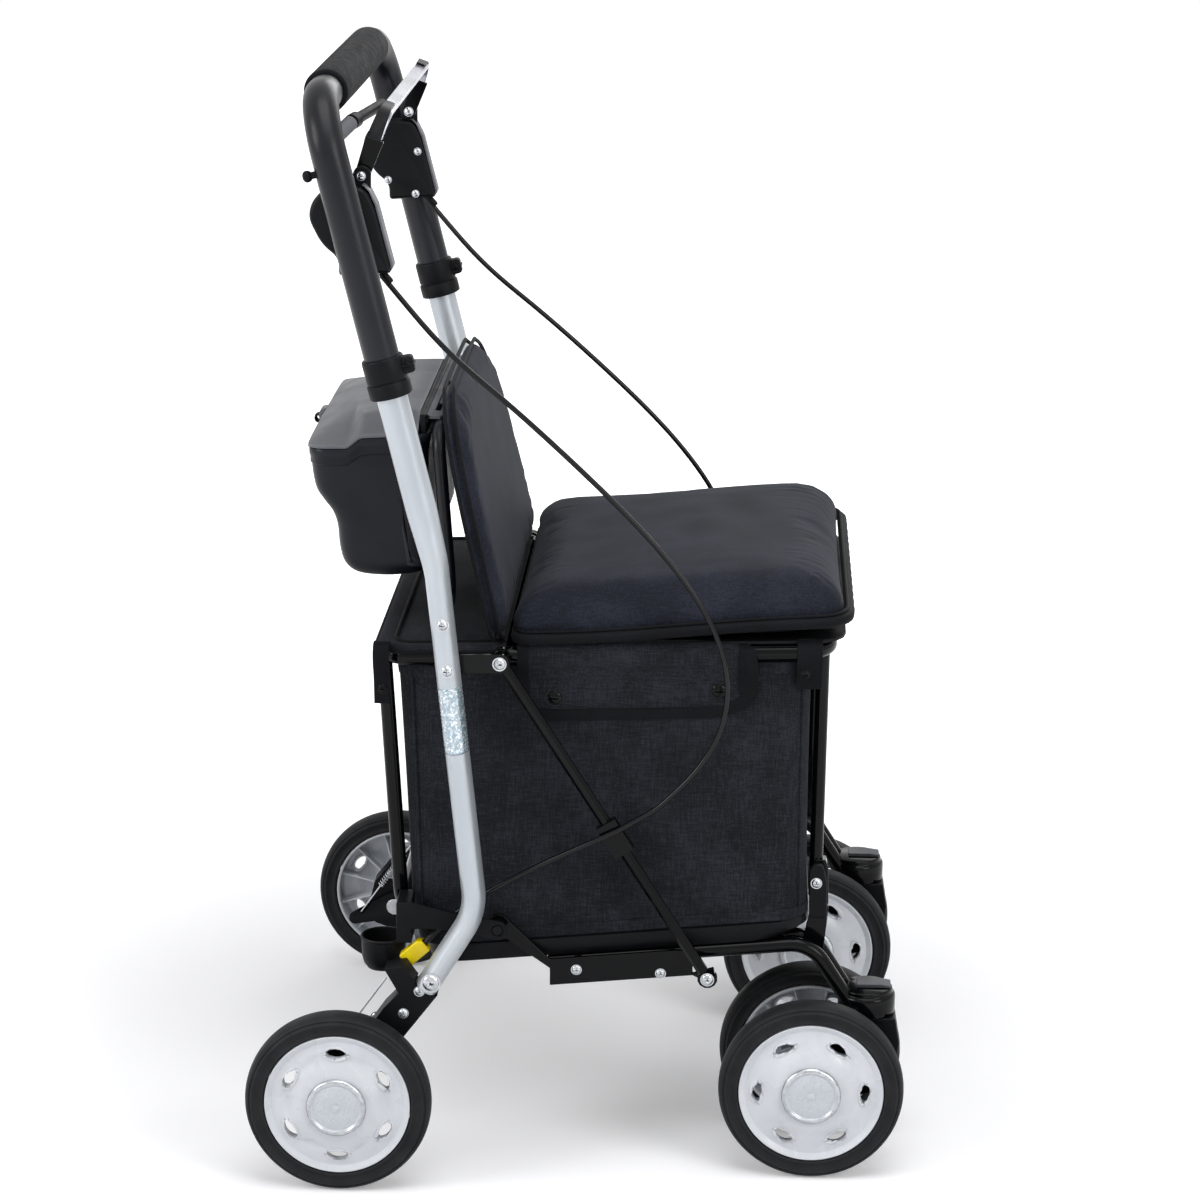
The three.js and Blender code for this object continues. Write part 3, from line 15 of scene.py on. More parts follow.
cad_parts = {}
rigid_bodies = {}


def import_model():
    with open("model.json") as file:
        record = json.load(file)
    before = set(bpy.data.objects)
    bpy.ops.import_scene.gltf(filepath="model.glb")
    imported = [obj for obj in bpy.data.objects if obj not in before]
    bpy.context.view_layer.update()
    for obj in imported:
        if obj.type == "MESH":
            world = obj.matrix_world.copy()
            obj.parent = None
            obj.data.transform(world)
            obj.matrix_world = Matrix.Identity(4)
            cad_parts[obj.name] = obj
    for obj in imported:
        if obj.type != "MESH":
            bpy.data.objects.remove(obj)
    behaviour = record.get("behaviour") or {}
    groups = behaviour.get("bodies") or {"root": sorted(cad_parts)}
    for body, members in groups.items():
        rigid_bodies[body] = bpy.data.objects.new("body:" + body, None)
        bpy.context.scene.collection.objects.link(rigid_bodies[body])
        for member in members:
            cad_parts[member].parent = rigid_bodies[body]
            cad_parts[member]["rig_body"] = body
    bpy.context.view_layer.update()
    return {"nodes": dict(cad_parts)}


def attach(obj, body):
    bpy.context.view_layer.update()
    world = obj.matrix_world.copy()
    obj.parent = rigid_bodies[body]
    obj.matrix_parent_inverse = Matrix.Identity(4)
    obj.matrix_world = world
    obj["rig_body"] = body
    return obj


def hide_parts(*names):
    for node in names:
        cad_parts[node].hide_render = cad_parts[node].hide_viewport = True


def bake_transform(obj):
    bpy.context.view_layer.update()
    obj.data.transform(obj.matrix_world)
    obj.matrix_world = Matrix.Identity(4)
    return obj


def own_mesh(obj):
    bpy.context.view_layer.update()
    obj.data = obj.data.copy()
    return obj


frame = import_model()

ROW_SHIFT = 219.25
MM = 0.001
BOTH = (("left", 1), ("right", -1))
WHEELBASE = 438.5
AXLE_HEIGHT = 86.86
WELD = 1e-6


def row(points):
    placed = np.array(points, float).reshape(-1, 3)
    placed[:, 1] += ROW_SHIFT
    return placed * MM


def spot(x, y, z):
    return tuple(row((x, y, z))[0])


def unit(vector):
    vector = np.array(vector, float)
    return vector / np.linalg.norm(vector)


def headings(line):
    """The direction at each point of an open line."""
    return [unit(d) for d in np.gradient(line, axis=0)]


def mix(low, high, share):
    return low + (high - low) * share


# The camera stands where the photograph was taken from

CAMERA_PLACE = Vector((-3.2660, -0.15585, 1.4053))
CAMERA_DOWN, CAMERA_TURN, CAMERA_ROLL = 0.272, 0.045, 0.005


def photo_camera():
    camera = bpy.data.objects.new("photo_camera", bpy.data.cameras.new("photo_camera"))
    camera.data.lens = 104.7
    camera.data.sensor_width = 36.0
    flat = math.cos(CAMERA_DOWN)
    forward = Vector((flat * math.cos(CAMERA_TURN), flat * math.sin(CAMERA_TURN), -math.sin(CAMERA_DOWN)))
    right = forward.cross(Vector((0, 0, 1))).normalized()
    up = right.cross(forward)
    side = right * math.cos(CAMERA_ROLL) + up * math.sin(CAMERA_ROLL)
    top = up * math.cos(CAMERA_ROLL) - right * math.sin(CAMERA_ROLL)
    turn = Matrix((side, top, -forward)).transposed().to_4x4()
    camera.matrix_world = Matrix.Translation(CAMERA_PLACE) @ turn
    bpy.context.scene.collection.objects.link(camera)
    bpy.context.scene.camera = camera


photo_camera()


# Materials

def linear(code):
    parts = [int(code[i:i + 2], 16) / 255 for i in (1, 3, 5)]
    return tuple(c / 12.92 if c <= 0.04045 else ((c + 0.055) / 1.055) ** 2.4 for c in parts) + (1.0,)


def add(tree, kind, links=None, **settings):
    """Adds a node; links gives each input a socket, a node's first output, or a value."""
    made = tree.nodes.new(kind)
    for name, value in settings.items():
        setattr(made, name, value)
    for name, source in (links or {}).items():
        if isinstance(source, bpy.types.Node):
            source = source.outputs[0]
        if isinstance(source, bpy.types.NodeSocket):
            tree.links.new(source, made.inputs[name])
        else:
            made.inputs[name].default_value = source
    return made


def blank(name):
    made = bpy.data.materials.new(name)
    made.use_nodes = True
    made.node_tree.nodes.clear()
    return made, made.node_tree


def finish(tree, sockets, bump=None, depth=0.0, strength=1.0):
    """The shader and its output; bump is a height, depth its full travel in millimetres."""
    if bump is not None:
        heights = {"Height": bump, "Distance": depth * MM, "Strength": strength}
        sockets["Normal"] = add(tree, "ShaderNodeBump", heights)
    shader = add(tree, "ShaderNodeBsdfPrincipled", sockets)
    add(tree, "ShaderNodeOutputMaterial", {"Surface": shader})


def pattern(tree, size, detail=2.0):
    """Noise whose patches measure size millimetres; three sizes stretch it along X, Y and Z."""
    sizes = size if isinstance(size, tuple) else (size, size, size)
    spots = add(tree, "ShaderNodeTexCoord").outputs["Object"]
    scale = tuple(1 / (s * MM) for s in sizes)
    mapped = add(tree, "ShaderNodeMapping", {"Vector": spots, "Scale": scale})
    return add(tree, "ShaderNodeTexNoise", {"Vector": mapped, "Scale": 1.0, "Detail": detail}).outputs["Fac"]


def between(tree, source, low, high, start=0.35, end=0.65):
    return add(tree, "ShaderNodeMapRange", {
        "Value": source, "From Min": start, "From Max": end, "To Min": low, "To Max": high,
    })


def shades(tree, factor, *codes):
    ramp = add(tree, "ShaderNodeValToRGB", {"Fac": factor})
    for i, code in enumerate(codes):
        place = 0.3 + 0.4 * i / max(len(codes) - 1, 1)
        stop = ramp.color_ramp.elements[i] if i < 2 else ramp.color_ramp.elements.new(place)
        stop.position = place
        stop.color = linear(code)
    return ramp


def moulding(name, codes, patch, grain, depth, rough, worn=None, **fixed):
    """A hard surface: slow shifts of shade, smudged gloss, a fine grain, and paler rubbed edges."""
    made, tree = blank(name)
    colour = shades(tree, pattern(tree, patch), *codes)
    if worn:
        edge = between(tree, add(tree, "ShaderNodeNewGeometry").outputs["Pointiness"], 0.0, 0.55, 0.53, 0.62)
        colour = add(tree, "ShaderNodeMix", {0: edge, 6: colour, 7: linear(worn)}, data_type="RGBA").outputs[2]
    sockets = {"Base Color": colour, "Roughness": between(tree, pattern(tree, 38.0, 3.0), *rough)}
    sockets.update({key.replace("_", " "): value for key, value in fixed.items()})
    finish(tree, sockets, pattern(tree, grain, 3.0), depth)
    return made


# Drawn and satin-anodised aluminium: pale silver, with fine lines drawn along the tube
ALUMINIUM = moulding(
    "anodised_aluminium", ("#b2b8be", "#bfc5ca"), (60.0, 60.0, 220.0), (0.7, 0.7, 60.0), 0.05,
    (0.28, 0.4), Metallic=0.5,
)
# Satin powder coat on the push handle: blue-black, with a soft broad highlight and a very fine orange peel
POWDER_COAT = moulding(
    "satin_powder_coat", ("#0a0b11", "#0f1017"), 45.0, 1.6, 0.05, (0.28, 0.38), worn="#24262d",
    Specular_IOR_Level=0.26,
)
# Gloss enamel on steel tube: deep black with sharp window-like highlights
GLOSS_ENAMEL = moulding(
    "gloss_black_enamel", ("#040506", "#07080a"), 60.0, 4.0, 0.03, (0.1, 0.17), worn="#101114",
    Specular_IOR_Level=0.14,
)
# Glass-filled nylon, moulded in a sparked tool: black with a fine even grain
BLACK_NYLON = moulding(
    "moulded_black_nylon", ("#08090b", "#0c0d10"), 24.0, 0.9, 0.07, (0.4, 0.54), worn="#1b1c20",
    Specular_IOR_Level=0.12,
)
# Polypropylene tub: dark blue-grey, smooth and slightly waxy
TUB_PLASTIC = moulding(
    "polypropylene_tub", ("#0e1016", "#14161d"), 70.0, 1.2, 0.04, (0.32, 0.44), worn="#2a2d37",
    Specular_IOR_Level=0.18,
)
# ABS lid with a satin grain: mid grey, catching the light from above
LID_PLASTIC = moulding(
    "satin_abs_lid", ("#55565b", "#5f6065"), 55.0, 0.9, 0.05, (0.36, 0.48), worn="#85868c",
    Specular_IOR_Level=0.22,
)
# Polypropylene discs: cool white, softly glossy from a polished tool
DISC_PLASTIC = moulding(
    "polished_white_polypropylene", ("#d0d4d9", "#d9dce1"), 30.0, 2.4, 0.03, (0.22, 0.34),
)
# Acetal adjusters: a full yellow with a low sheen
YELLOW_ACETAL = moulding(
    "yellow_acetal", ("#f0d000", "#fce303"), 9.0, 0.8, 0.05, (0.3, 0.42),
)
# Tab plastic: mid grey nylon with a dull face
TAB_PLASTIC = moulding(
    "grey_nylon_tab", ("#2e2f34", "#3b3c42"), 14.0, 0.8, 0.06, (0.4, 0.52), worn="#6a6b70",
    Specular_IOR_Level=0.25,
)
# Synthetic rubber tyre: matt charcoal, with faint bloom and scuffs
TYRE_RUBBER = moulding(
    "tyre_rubber", ("#17181a", "#1f2022"), 17.0, 1.1, 0.1, (0.55, 0.72), worn="#38393c",
    Specular_IOR_Level=0.2,
)
# Bright zinc-plated steel: small fasteners, with a slightly cloudy plating
ZINC_STEEL = moulding(
    "zinc_plated_steel", ("#aeb1b5", "#c6c9cc"), 5.0, 0.9, 0.04, (0.18, 0.34), Metallic=1.0,
)
# Brushed stainless lever bar: long fine scratches across its width
BRUSHED_STEEL = moulding(
    "brushed_stainless_steel", ("#a2a2ac", "#b8b8c0"), (80.0, 12.0, 12.0), (90.0, 0.5, 0.5), 0.03,
    (0.2, 0.32), Metallic=1.0,
)
# Extruded PVC cable sheath: black with a wet line of light
CABLE_SHEATH = moulding(
    "pvc_cable_sheath", ("#07080a", "#0c0d10"), 20.0, 1.0, 0.04, (0.16, 0.26),
    Specular_IOR_Level=0.24,
)


def foam_grip():
    """Closed-cell foam: a soft near-black surface pitted by small cells."""
    made, tree = blank("closed_cell_foam")
    spots = add(tree, "ShaderNodeTexCoord").outputs["Object"]
    # Cells near 0.9 mm, as coarse as they need to be to show
    cells = add(tree, "ShaderNodeTexVoronoi", {"Vector": spots, "Scale": 1 / (0.9 * MM)})
    sockets = {
        "Base Color": shades(tree, pattern(tree, 14.0), "#101113", "#18191c"),
        "Roughness": between(tree, pattern(tree, 9.0), 0.72, 0.86),
        "Specular IOR Level": 0.1,
        "Sheen Weight": 0.03,
    }
    finish(tree, sockets, cells.outputs["Distance"], 0.35, 0.6)
    return made


def prism_tape():
    """Prismatic reflective film: small facets that each throw back a different share of light, painted as a lighter
    or darker base colour on each facet.
    """
    made, tree = blank("prismatic_reflective_film")
    spots = add(tree, "ShaderNodeTexCoord").outputs["Object"]
    # Facets of 1.9 mm, drawn coarser than the real prisms so that they show
    cells = add(tree, "ShaderNodeTexVoronoi", {"Vector": spots, "Scale": 1 / (1.9 * MM)})
    share = add(tree, "ShaderNodeSeparateColor", {"Color": cells.outputs["Color"]})
    # Painted glints: the base colour turns lighter or darker from facet to facet
    colour = shades(tree, share.outputs[0], "#94a9b6", "#c3d3dc", "#eff4f7", "#aab4bc")
    sockets = {
        "Base Color": colour,
        "Roughness": between(tree, share.outputs[1], 0.1, 0.4, 0.0, 1.0),
        "Metallic": 0.55,
        "Coat Weight": 0.8,
    }
    finish(tree, sockets, share.outputs[2], 0.6)
    return made


def clear_reflector():
    """Acrylic reflector over a silver backing: bright, with moulded rays under a clear skin."""
    made, tree = blank("acrylic_reflector")
    spots = add(tree, "ShaderNodeTexCoord").outputs["Object"]
    # Micro-prisms of 2.2 mm, drawn coarser than the real ones so that they show
    cells = add(tree, "ShaderNodeTexVoronoi", {"Vector": spots, "Scale": 1 / (2.2 * MM)})
    sockets = {
        "Base Color": shades(tree, cells.outputs["Distance"], "#c9ced4", "#c1c6cd"),
        "Roughness": between(tree, pattern(tree, 6.0), 0.12, 0.24),
        "Metallic": 0.15,
        "Coat Weight": 1.0,
        "Coat Roughness": 0.05,
    }
    finish(tree, sockets, cells.outputs["Distance"], 0.05, 0.3)
    return made


FOAM = foam_grip()
PRISM_TAPE = prism_tape()
REFLECTOR = clear_reflector()


def cloth(name, codes, thread, slub, depth, rough, sheen):
    """Woven cloth of mixed yarns: short slubs along and across, broad faded patches and a fine weave."""
    made, tree = blank(name)
    runs = [pattern(tree, size, 2.0) for size in (
        (slub, thread, thread), (thread, slub, thread), (thread, thread, slub),
    )]
    yarn = add(tree, "ShaderNodeMath", {0: runs[0], 1: runs[1]}, operation="ADD")
    yarn = add(tree, "ShaderNodeMath", {0: yarn, 1: runs[2]}, operation="ADD")
    yarn = add(tree, "ShaderNodeMath", {0: yarn, 1: 1 / 3}, operation="MULTIPLY")
    patch = between(tree, pattern(tree, 55.0, 3.0), -0.05, 0.05)
    tone = add(tree, "ShaderNodeMath", {0: yarn, 1: patch}, operation="ADD")
    tone = between(tree, tone, 0.25, 0.75, 0.38, 0.62)
    sockets = {
        "Base Color": shades(tree, tone, *codes),
        "Roughness": between(tree, yarn, *rough),
        "Specular IOR Level": 0.1,
        "Sheen Weight": sheen,
        "Sheen Roughness": 0.45,
    }
    finish(tree, sockets, yarn, depth)
    return made


# Polyester canvas of the bag, blue-grey and black yarns; 1.3 mm threads, as coarse as they need to show
BAG_CLOTH = cloth("melange_polyester_canvas", ("#15161a", "#1f2126", "#2c2e35"), 1.3, 14.0, 0.2, (0.72, 0.9), 0.03)
# Seat cloth: the same yarns in a finer and slightly greyer weave
SEAT_CLOTH = cloth("melange_seat_cloth", ("#15181f", "#1f222b", "#292c38"), 1.1, 10.0, 0.16, (0.66, 0.84), 0.03)
# Piping and binding: tightly woven black tape that swallows light
BINDING = cloth("woven_binding_tape", ("#08090b", "#0d0e11", "#14151a"), 0.9, 3.0, 0.16, (0.6, 0.8), 0.02)


# Points and faces

class Form:
    """Points, faces and surface coordinates in millimetres, gathered for one piece."""

    def __init__(self):
        self.points, self.faces, self.charts = [], [], []

    def put(self, points, faces, charts=None):
        base = len(self.points)
        self.points += [tuple(p) for p in points]
        for i, face in enumerate(faces):
            self.faces.append([base + k for k in face])
            self.charts.append(charts[i] if charts else [(0.0, 0.0)] * len(face))

    def skin(self, rings, closed=True, looped=False, caps=True):
        """Joins rings of equal count; looped joins the last to the first, caps close the ends."""
        rings = np.array(rings, float)
        runs, count = rings.shape[:2]
        shut = np.concatenate([rings, rings[:, :1]], axis=1)
        across = np.r_[0, np.cumsum(np.linalg.norm(np.diff(shut, axis=1), axis=2).mean(0))] * MM
        steps = np.linalg.norm(np.diff(np.concatenate([rings, rings[:1]]), axis=0), axis=2).mean(1)
        along = np.r_[0, np.cumsum(steps)] * MM
        faces, charts = [], []
        for i in range(runs if looped else runs - 1):
            j = (i + 1) % runs
            for k in range(count if closed else count - 1):
                n = (k + 1) % count
                faces.append([i * count + k, i * count + n, j * count + n, j * count + k])
                low, high = (across[k], across[k + 1])
                charts.append([(low, along[i]), (high, along[i]), (high, along[i + 1]), (low, along[i + 1])])
        if caps and closed and not looped:
            for start, turn in ((0, -1), ((runs - 1) * count, 1)):
                face = [start + k for k in range(count)][::turn]
                faces.append(face)
                charts.append([(0.0, 0.0)] * count)
        self.put(rings.reshape(-1, 3), faces, charts)

    def tube(self, points, radius, bend=0.0, sides=24, steps=8):
        spots, runs = bent(points, bend, steps)
        section = ring2d(radius, sides)
        self.skin(swept(spots, runs, lambda i: section))

    def cord(self, line, radius, sides, looped=False):
        """A round cord along a line of points."""
        runs = [unit(d) for d in np.roll(line, -1, 0) - np.roll(line, 1, 0)] if looped else headings(line)
        self.skin(swept(line, runs, lambda i: ring2d(radius, sides)), looped=looped)

    def lathe(self, profile, centre, axis, sides, looped=False):
        """Turns a profile of (radius, place along the axis)."""
        axis = unit(axis)
        out = unit(np.cross(axis, (0, 0, 1) if abs(axis[2]) < 0.9 else (0, -1, 0)))
        over = np.cross(axis, out)
        angle = np.arange(sides) * 2 * math.pi / sides
        circle = np.outer(np.cos(angle), out) + np.outer(np.sin(angle), over)
        rings = [np.array(centre) + axis * h + circle * r for r, h in profile]
        self.skin(rings, looped=looped)

    def pin(self, radius, length, centre, axis, sides=28, start=0):
        self.lathe([(0, start), (radius, start), (radius, length), (0, length)], centre, axis, sides)

    def plate(self, outline, *xs):
        self.skin([[(x, y, z) for y, z in outline] for x in xs])

    def slab(self, outline, layers, s=1):
        """An outline of (y, z) in layers of (x, inset), on the side of s."""
        self.skin([[(s * x, y, z) for y, z in drawn_in(outline, inset)] for x, inset in layers])


def ring2d(radius, sides):
    wide, tall = radius if isinstance(radius, tuple) else (radius, radius)
    angle = np.arange(sides) * 2 * math.pi / sides
    return np.stack([wide * np.cos(angle), tall * np.sin(angle)], 1)


def bent(points, bend, steps=8):
    """Straight runs with rounded corners: points along them and the direction at each."""
    corners = [np.array(p, float) for p in points]
    spots, runs = [corners[0]], [unit(corners[1] - corners[0])]
    for i in range(1, len(corners) - 1):
        into, away = unit(corners[i] - corners[i - 1]), unit(corners[i + 1] - corners[i])
        turn = math.acos(np.clip(into @ away, -1, 1))
        radius = bend[i - 1] if isinstance(bend, (list, tuple)) else bend
        if turn < 1e-4 or radius <= 0:
            spots.append(corners[i])
            runs.append(unit(into + away))
            continue
        start = corners[i] - into * radius * math.tan(turn / 2)
        inward = unit(away - into * (into @ away))
        for s in range(steps + 1):
            part = turn * s / steps
            spots.append(start + into * radius * math.sin(part) + inward * radius * (1 - math.cos(part)))
            runs.append(into * math.cos(part) + inward * math.sin(part))
    spots.append(corners[-1])
    runs.append(unit(corners[-1] - corners[-2]))
    return np.array(spots), np.array(runs)


def smooth(points, per=6):
    """A smooth curve through the points, with per points for each span."""
    p = np.array(points, float)
    p = np.vstack([2 * p[0] - p[1], p, 2 * p[-1] - p[-2]])
    made = []
    for i in range(1, len(p) - 2):
        for s in range(per):
            t = s / per
            made.append(0.5 * (2 * p[i] + (p[i + 1] - p[i - 1]) * t
                               + (2 * p[i - 1] - 5 * p[i] + 4 * p[i + 1] - p[i + 2]) * t * t
                               + (3 * p[i] - 3 * p[i + 1] + p[i + 2] - p[i - 1]) * t ** 3))
    made.append(p[-2])
    return np.array(made)


def swept(spots, runs, section):
    """Rings of a section carried along a line without twisting; section(i) gives its (u, v) points."""
    side = np.array((1.0, 0.0, 0.0))
    if abs(side @ runs[0]) > 0.95:
        side = np.array((0.0, 1.0, 0.0))
    rings = []
    for i, (place, run) in enumerate(zip(spots, runs)):
        side = unit(side - run * (side @ run))
        over = np.cross(run, side)
        flat = section(i)
        rings.append(place + np.outer(flat[:, 0], side) + np.outer(flat[:, 1], over))
    return np.array(rings)


def soften(outline, radius, steps=4):
    """Rounds every corner of a closed outline."""
    made = []
    count = len(outline)
    for i in range(count):
        here = np.array(outline[i], float)
        before, after = np.array(outline[i - 1], float), np.array(outline[(i + 1) % count], float)
        reach = radius[i] if isinstance(radius, (list, tuple)) else radius
        reach = min(reach, 0.48 * np.linalg.norm(before - here), 0.48 * np.linalg.norm(after - here))
        start, end = here + unit(before - here) * reach, here + unit(after - here) * reach
        for s in range(steps + 1):
            t = s / steps
            made.append(tuple((1 - t) ** 2 * start + 2 * t * (1 - t) * here + t * t * end))
    return made


def rounded(half_wide, low, high, radius, steps=8):
    """A rectangle with round corners, anticlockwise from its right side."""
    made = []
    for x, y, start in ((half_wide, high, 0), (-half_wide, high, 1), (-half_wide, low, 2), (half_wide, low, 3)):
        cx, cy = x - math.copysign(radius, x), y - (radius if y == high else -radius)
        for s in range(steps + 1):
            angle = math.pi / 2 * (start + s / steps)
            made.append((cx + radius * math.cos(angle), cy + radius * math.sin(angle)))
    return made


def outward(flat):
    """The outward direction at each point of a closed anticlockwise plan."""
    run = np.roll(flat, -1, 0) - np.roll(flat, 1, 0)
    run /= np.linalg.norm(run, axis=1)[:, None]
    return np.stack([run[:, 1], -run[:, 0]], 1)


def arc(y, z, radius, start, end):
    """Points of (y, z) round a place, between two angles in degrees."""
    return [(y + radius * math.cos(a), z + radius * math.sin(a)) for a in np.radians(np.linspace(start, end, 14))]


def drawn_in(outline, depth):
    """The outline moved inwards by depth."""
    flat = np.array(outline, float)
    side = -outward(flat)
    area = np.sum(flat[:, 0] * np.roll(flat[:, 1], -1) - flat[:, 1] * np.roll(flat[:, 0], -1))
    return flat + side * depth * math.copysign(1, area)


def evenly(points, count, shut=False):
    """The same line with count points at even steps."""
    line = np.array(points, float)
    if shut:
        line = np.vstack([line, line[:1]])
    way = np.r_[0, np.cumsum(np.linalg.norm(np.diff(line, axis=0), axis=1))]
    stops = np.linspace(0, way[-1], count + 1)[:-1] if shut else np.linspace(0, way[-1], count)
    return np.stack([np.interp(stops, way, line[:, k]) for k in range(line.shape[1])], 1)


def folds(u, v, lines):
    """Soft folds: each line (from u, v to u, v, width, depth) dips along its length and swells beside it."""
    total = np.zeros(np.shape(u))
    for u0, v0, u1, v1, wide, deep in lines:
        length = math.hypot(u1 - u0, v1 - v0)
        run = ((u1 - u0) / length, (v1 - v0) / length)
        along = (u - u0) * run[0] + (v - v0) * run[1]
        off = np.abs((v - v0) * run[0] - (u - u0) * run[1])
        near = np.clip(np.minimum(along, length - along) / (0.4 * length), 0, 1)
        shape = 0.6 * np.exp(-((off - 1.7 * wide) / wide) ** 2) - np.exp(-(off / wide) ** 2)
        total = total + deep * shape * near * near * (3 - 2 * near)
    return total


# Pieces


def settle(obj, body, stands_for):
    if body:
        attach(obj, body)
    if stands_for:
        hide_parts(*stands_for)
    return obj


def shade(mesh, angle):
    mesh.polygons.foreach_set("use_smooth", [True] * len(mesh.polygons))
    mesh.set_sharp_from_angle(angle=math.radians(angle))


def linked(name, data):
    obj = bpy.data.objects.new(name, data)
    bpy.context.scene.collection.objects.link(obj)
    return obj


def mesh_of(name, form, coat, angle):
    mesh = bpy.data.meshes.new(name)
    mesh.from_pydata(row(form.points).tolist(), [], form.faces)
    chart = mesh.uv_layers.new(name="UVMap")
    chart.data.foreach_set("uv", np.array([c for face in form.charts for c in face], float).ravel())
    mesh.materials.append(coat)
    work = bmesh.new()
    work.from_mesh(mesh)
    bmesh.ops.remove_doubles(work, verts=work.verts, dist=WELD)
    bmesh.ops.recalc_face_normals(work, faces=work.faces)
    work.to_mesh(mesh)
    work.free()
    shade(mesh, angle)
    return mesh


def round_edges(obj, width, segments, angle):
    tool = obj.modifiers.new("rounded_edges", "BEVEL")
    tool.width = width * MM
    tool.segments = segments
    tool.limit_method = "ANGLE"
    tool.angle_limit = math.radians(angle)
    tool.harden_normals = True


def piece(name, form, body, coat, stands_for=(), bevel=0.0, angle=40, thick=0.0):
    obj = linked(name, mesh_of(name, form, coat, angle))
    if thick:
        wall = obj.modifiers.new("wall", "SOLIDIFY")
        wall.thickness = thick * MM
        wall.offset = -1.0
    if bevel:
        round_edges(obj, bevel, 2, angle)
    return settle(obj, body, stands_for)


def refined(node, coat, bevel, segments=3):
    """A copy of a moulded solid with its edges rounded as a tool leaves them."""
    angle = 28
    source = frame["nodes"][node]
    mesh = source.data.copy()
    mesh.materials.clear()
    mesh.materials.append(coat)
    work = bmesh.new()
    work.from_mesh(mesh)
    bmesh.ops.remove_doubles(work, verts=work.verts, dist=1e-5)
    bmesh.ops.dissolve_limit(work, angle_limit=math.radians(1.0), verts=work.verts, edges=work.edges)
    work.to_mesh(mesh)
    work.free()
    shade(mesh, angle)
    obj = linked(node + "_moulding", mesh)
    round_edges(obj, bevel, segments, angle)
    return settle(obj, source["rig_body"], (node,))


def meshed(obj):
    """Turns what the modifiers make into the piece's own mesh."""
    made = bpy.data.meshes.new_from_object(obj.evaluated_get(bpy.context.evaluated_depsgraph_get()))
    obj.modifiers.clear()
    obj.data = made
    return obj


def places_of(obj):
    spots = np.empty(len(obj.data.vertices) * 3)
    obj.data.vertices.foreach_get("co", spots)
    return spots.reshape(-1, 3)


def filled(obj, cell, pressure, most):
    """Even small faces, then a filling that presses the cloth out, no point further than most."""
    grid = obj.modifiers.new("grid", "REMESH")
    grid.mode = "VOXEL"
    grid.voxel_size = cell * MM
    meshed(obj)
    before = places_of(obj)
    skin = obj.modifiers.new("filling", "CLOTH")
    skin.settings.quality = 5
    skin.settings.mass = 0.25
    skin.settings.tension_stiffness = skin.settings.compression_stiffness = 18
    skin.settings.bending_stiffness = 0.4
    skin.settings.use_pressure = True
    skin.settings.uniform_pressure_force = pressure
    skin.settings.effector_weights.gravity = 0
    skin.point_cache.frame_end = 20
    for step in range(1, 21):
        bpy.context.scene.frame_set(step)
    meshed(obj)
    bpy.context.scene.frame_set(1)
    moved = places_of(obj) - before
    size = np.linalg.norm(moved, axis=1)[:, None]
    moved *= np.minimum(1, most * MM / np.maximum(size, 1e-9))
    obj.data.vertices.foreach_set("co", (before + moved).ravel())
    return obj


def refine_cloth(obj):
    shade(obj.data, 180)
    fine = obj.modifiers.new("fine", "SUBSURF")
    fine.levels = fine.render_levels = 1
    return obj


# Repeated details, made by node trees

def new_tree(name, inputs):
    tree = bpy.data.node_groups.new(name, "GeometryNodeTree")
    tree.interface.new_socket("Geometry", in_out="INPUT", socket_type="NodeSocketGeometry")
    for label, kind, value in inputs:
        socket = tree.interface.new_socket(label, in_out="INPUT", socket_type="NodeSocket" + kind)
        if value is not None:
            socket.default_value = value
    tree.interface.new_socket("Geometry", in_out="OUTPUT", socket_type="NodeSocketGeometry")
    return tree, tree.nodes.new("NodeGroupInput")


def end_tree(tree, source, entry):
    real = add(tree, "GeometryNodeRealizeInstances", {"Geometry": source})
    painted = add(tree, "GeometryNodeSetMaterial", {"Geometry": real, "Material": entry.outputs["Material"]})
    add(tree, "NodeGroupOutput", {"Geometry": painted})


def grow(name, mesh, tree, body, values):
    """Runs a tree on a mesh, turns the result into a plain mesh and lets it ride on a body."""
    obj = linked(name, mesh)
    tool = obj.modifiers.new("detail", "NODES")
    tool.node_group = tree
    names = {item.name: item.identifier for item in tree.interface.items_tree if item.in_out == "INPUT"}
    for label, value in values.items():
        tool[names[label]] = value
    made = meshed(obj).data
    work = bmesh.new()
    work.from_mesh(made)
    bmesh.ops.recalc_face_normals(work, faces=work.faces)
    work.to_mesh(made)
    work.free()
    shade(made, 40)
    return settle(obj, body, ())


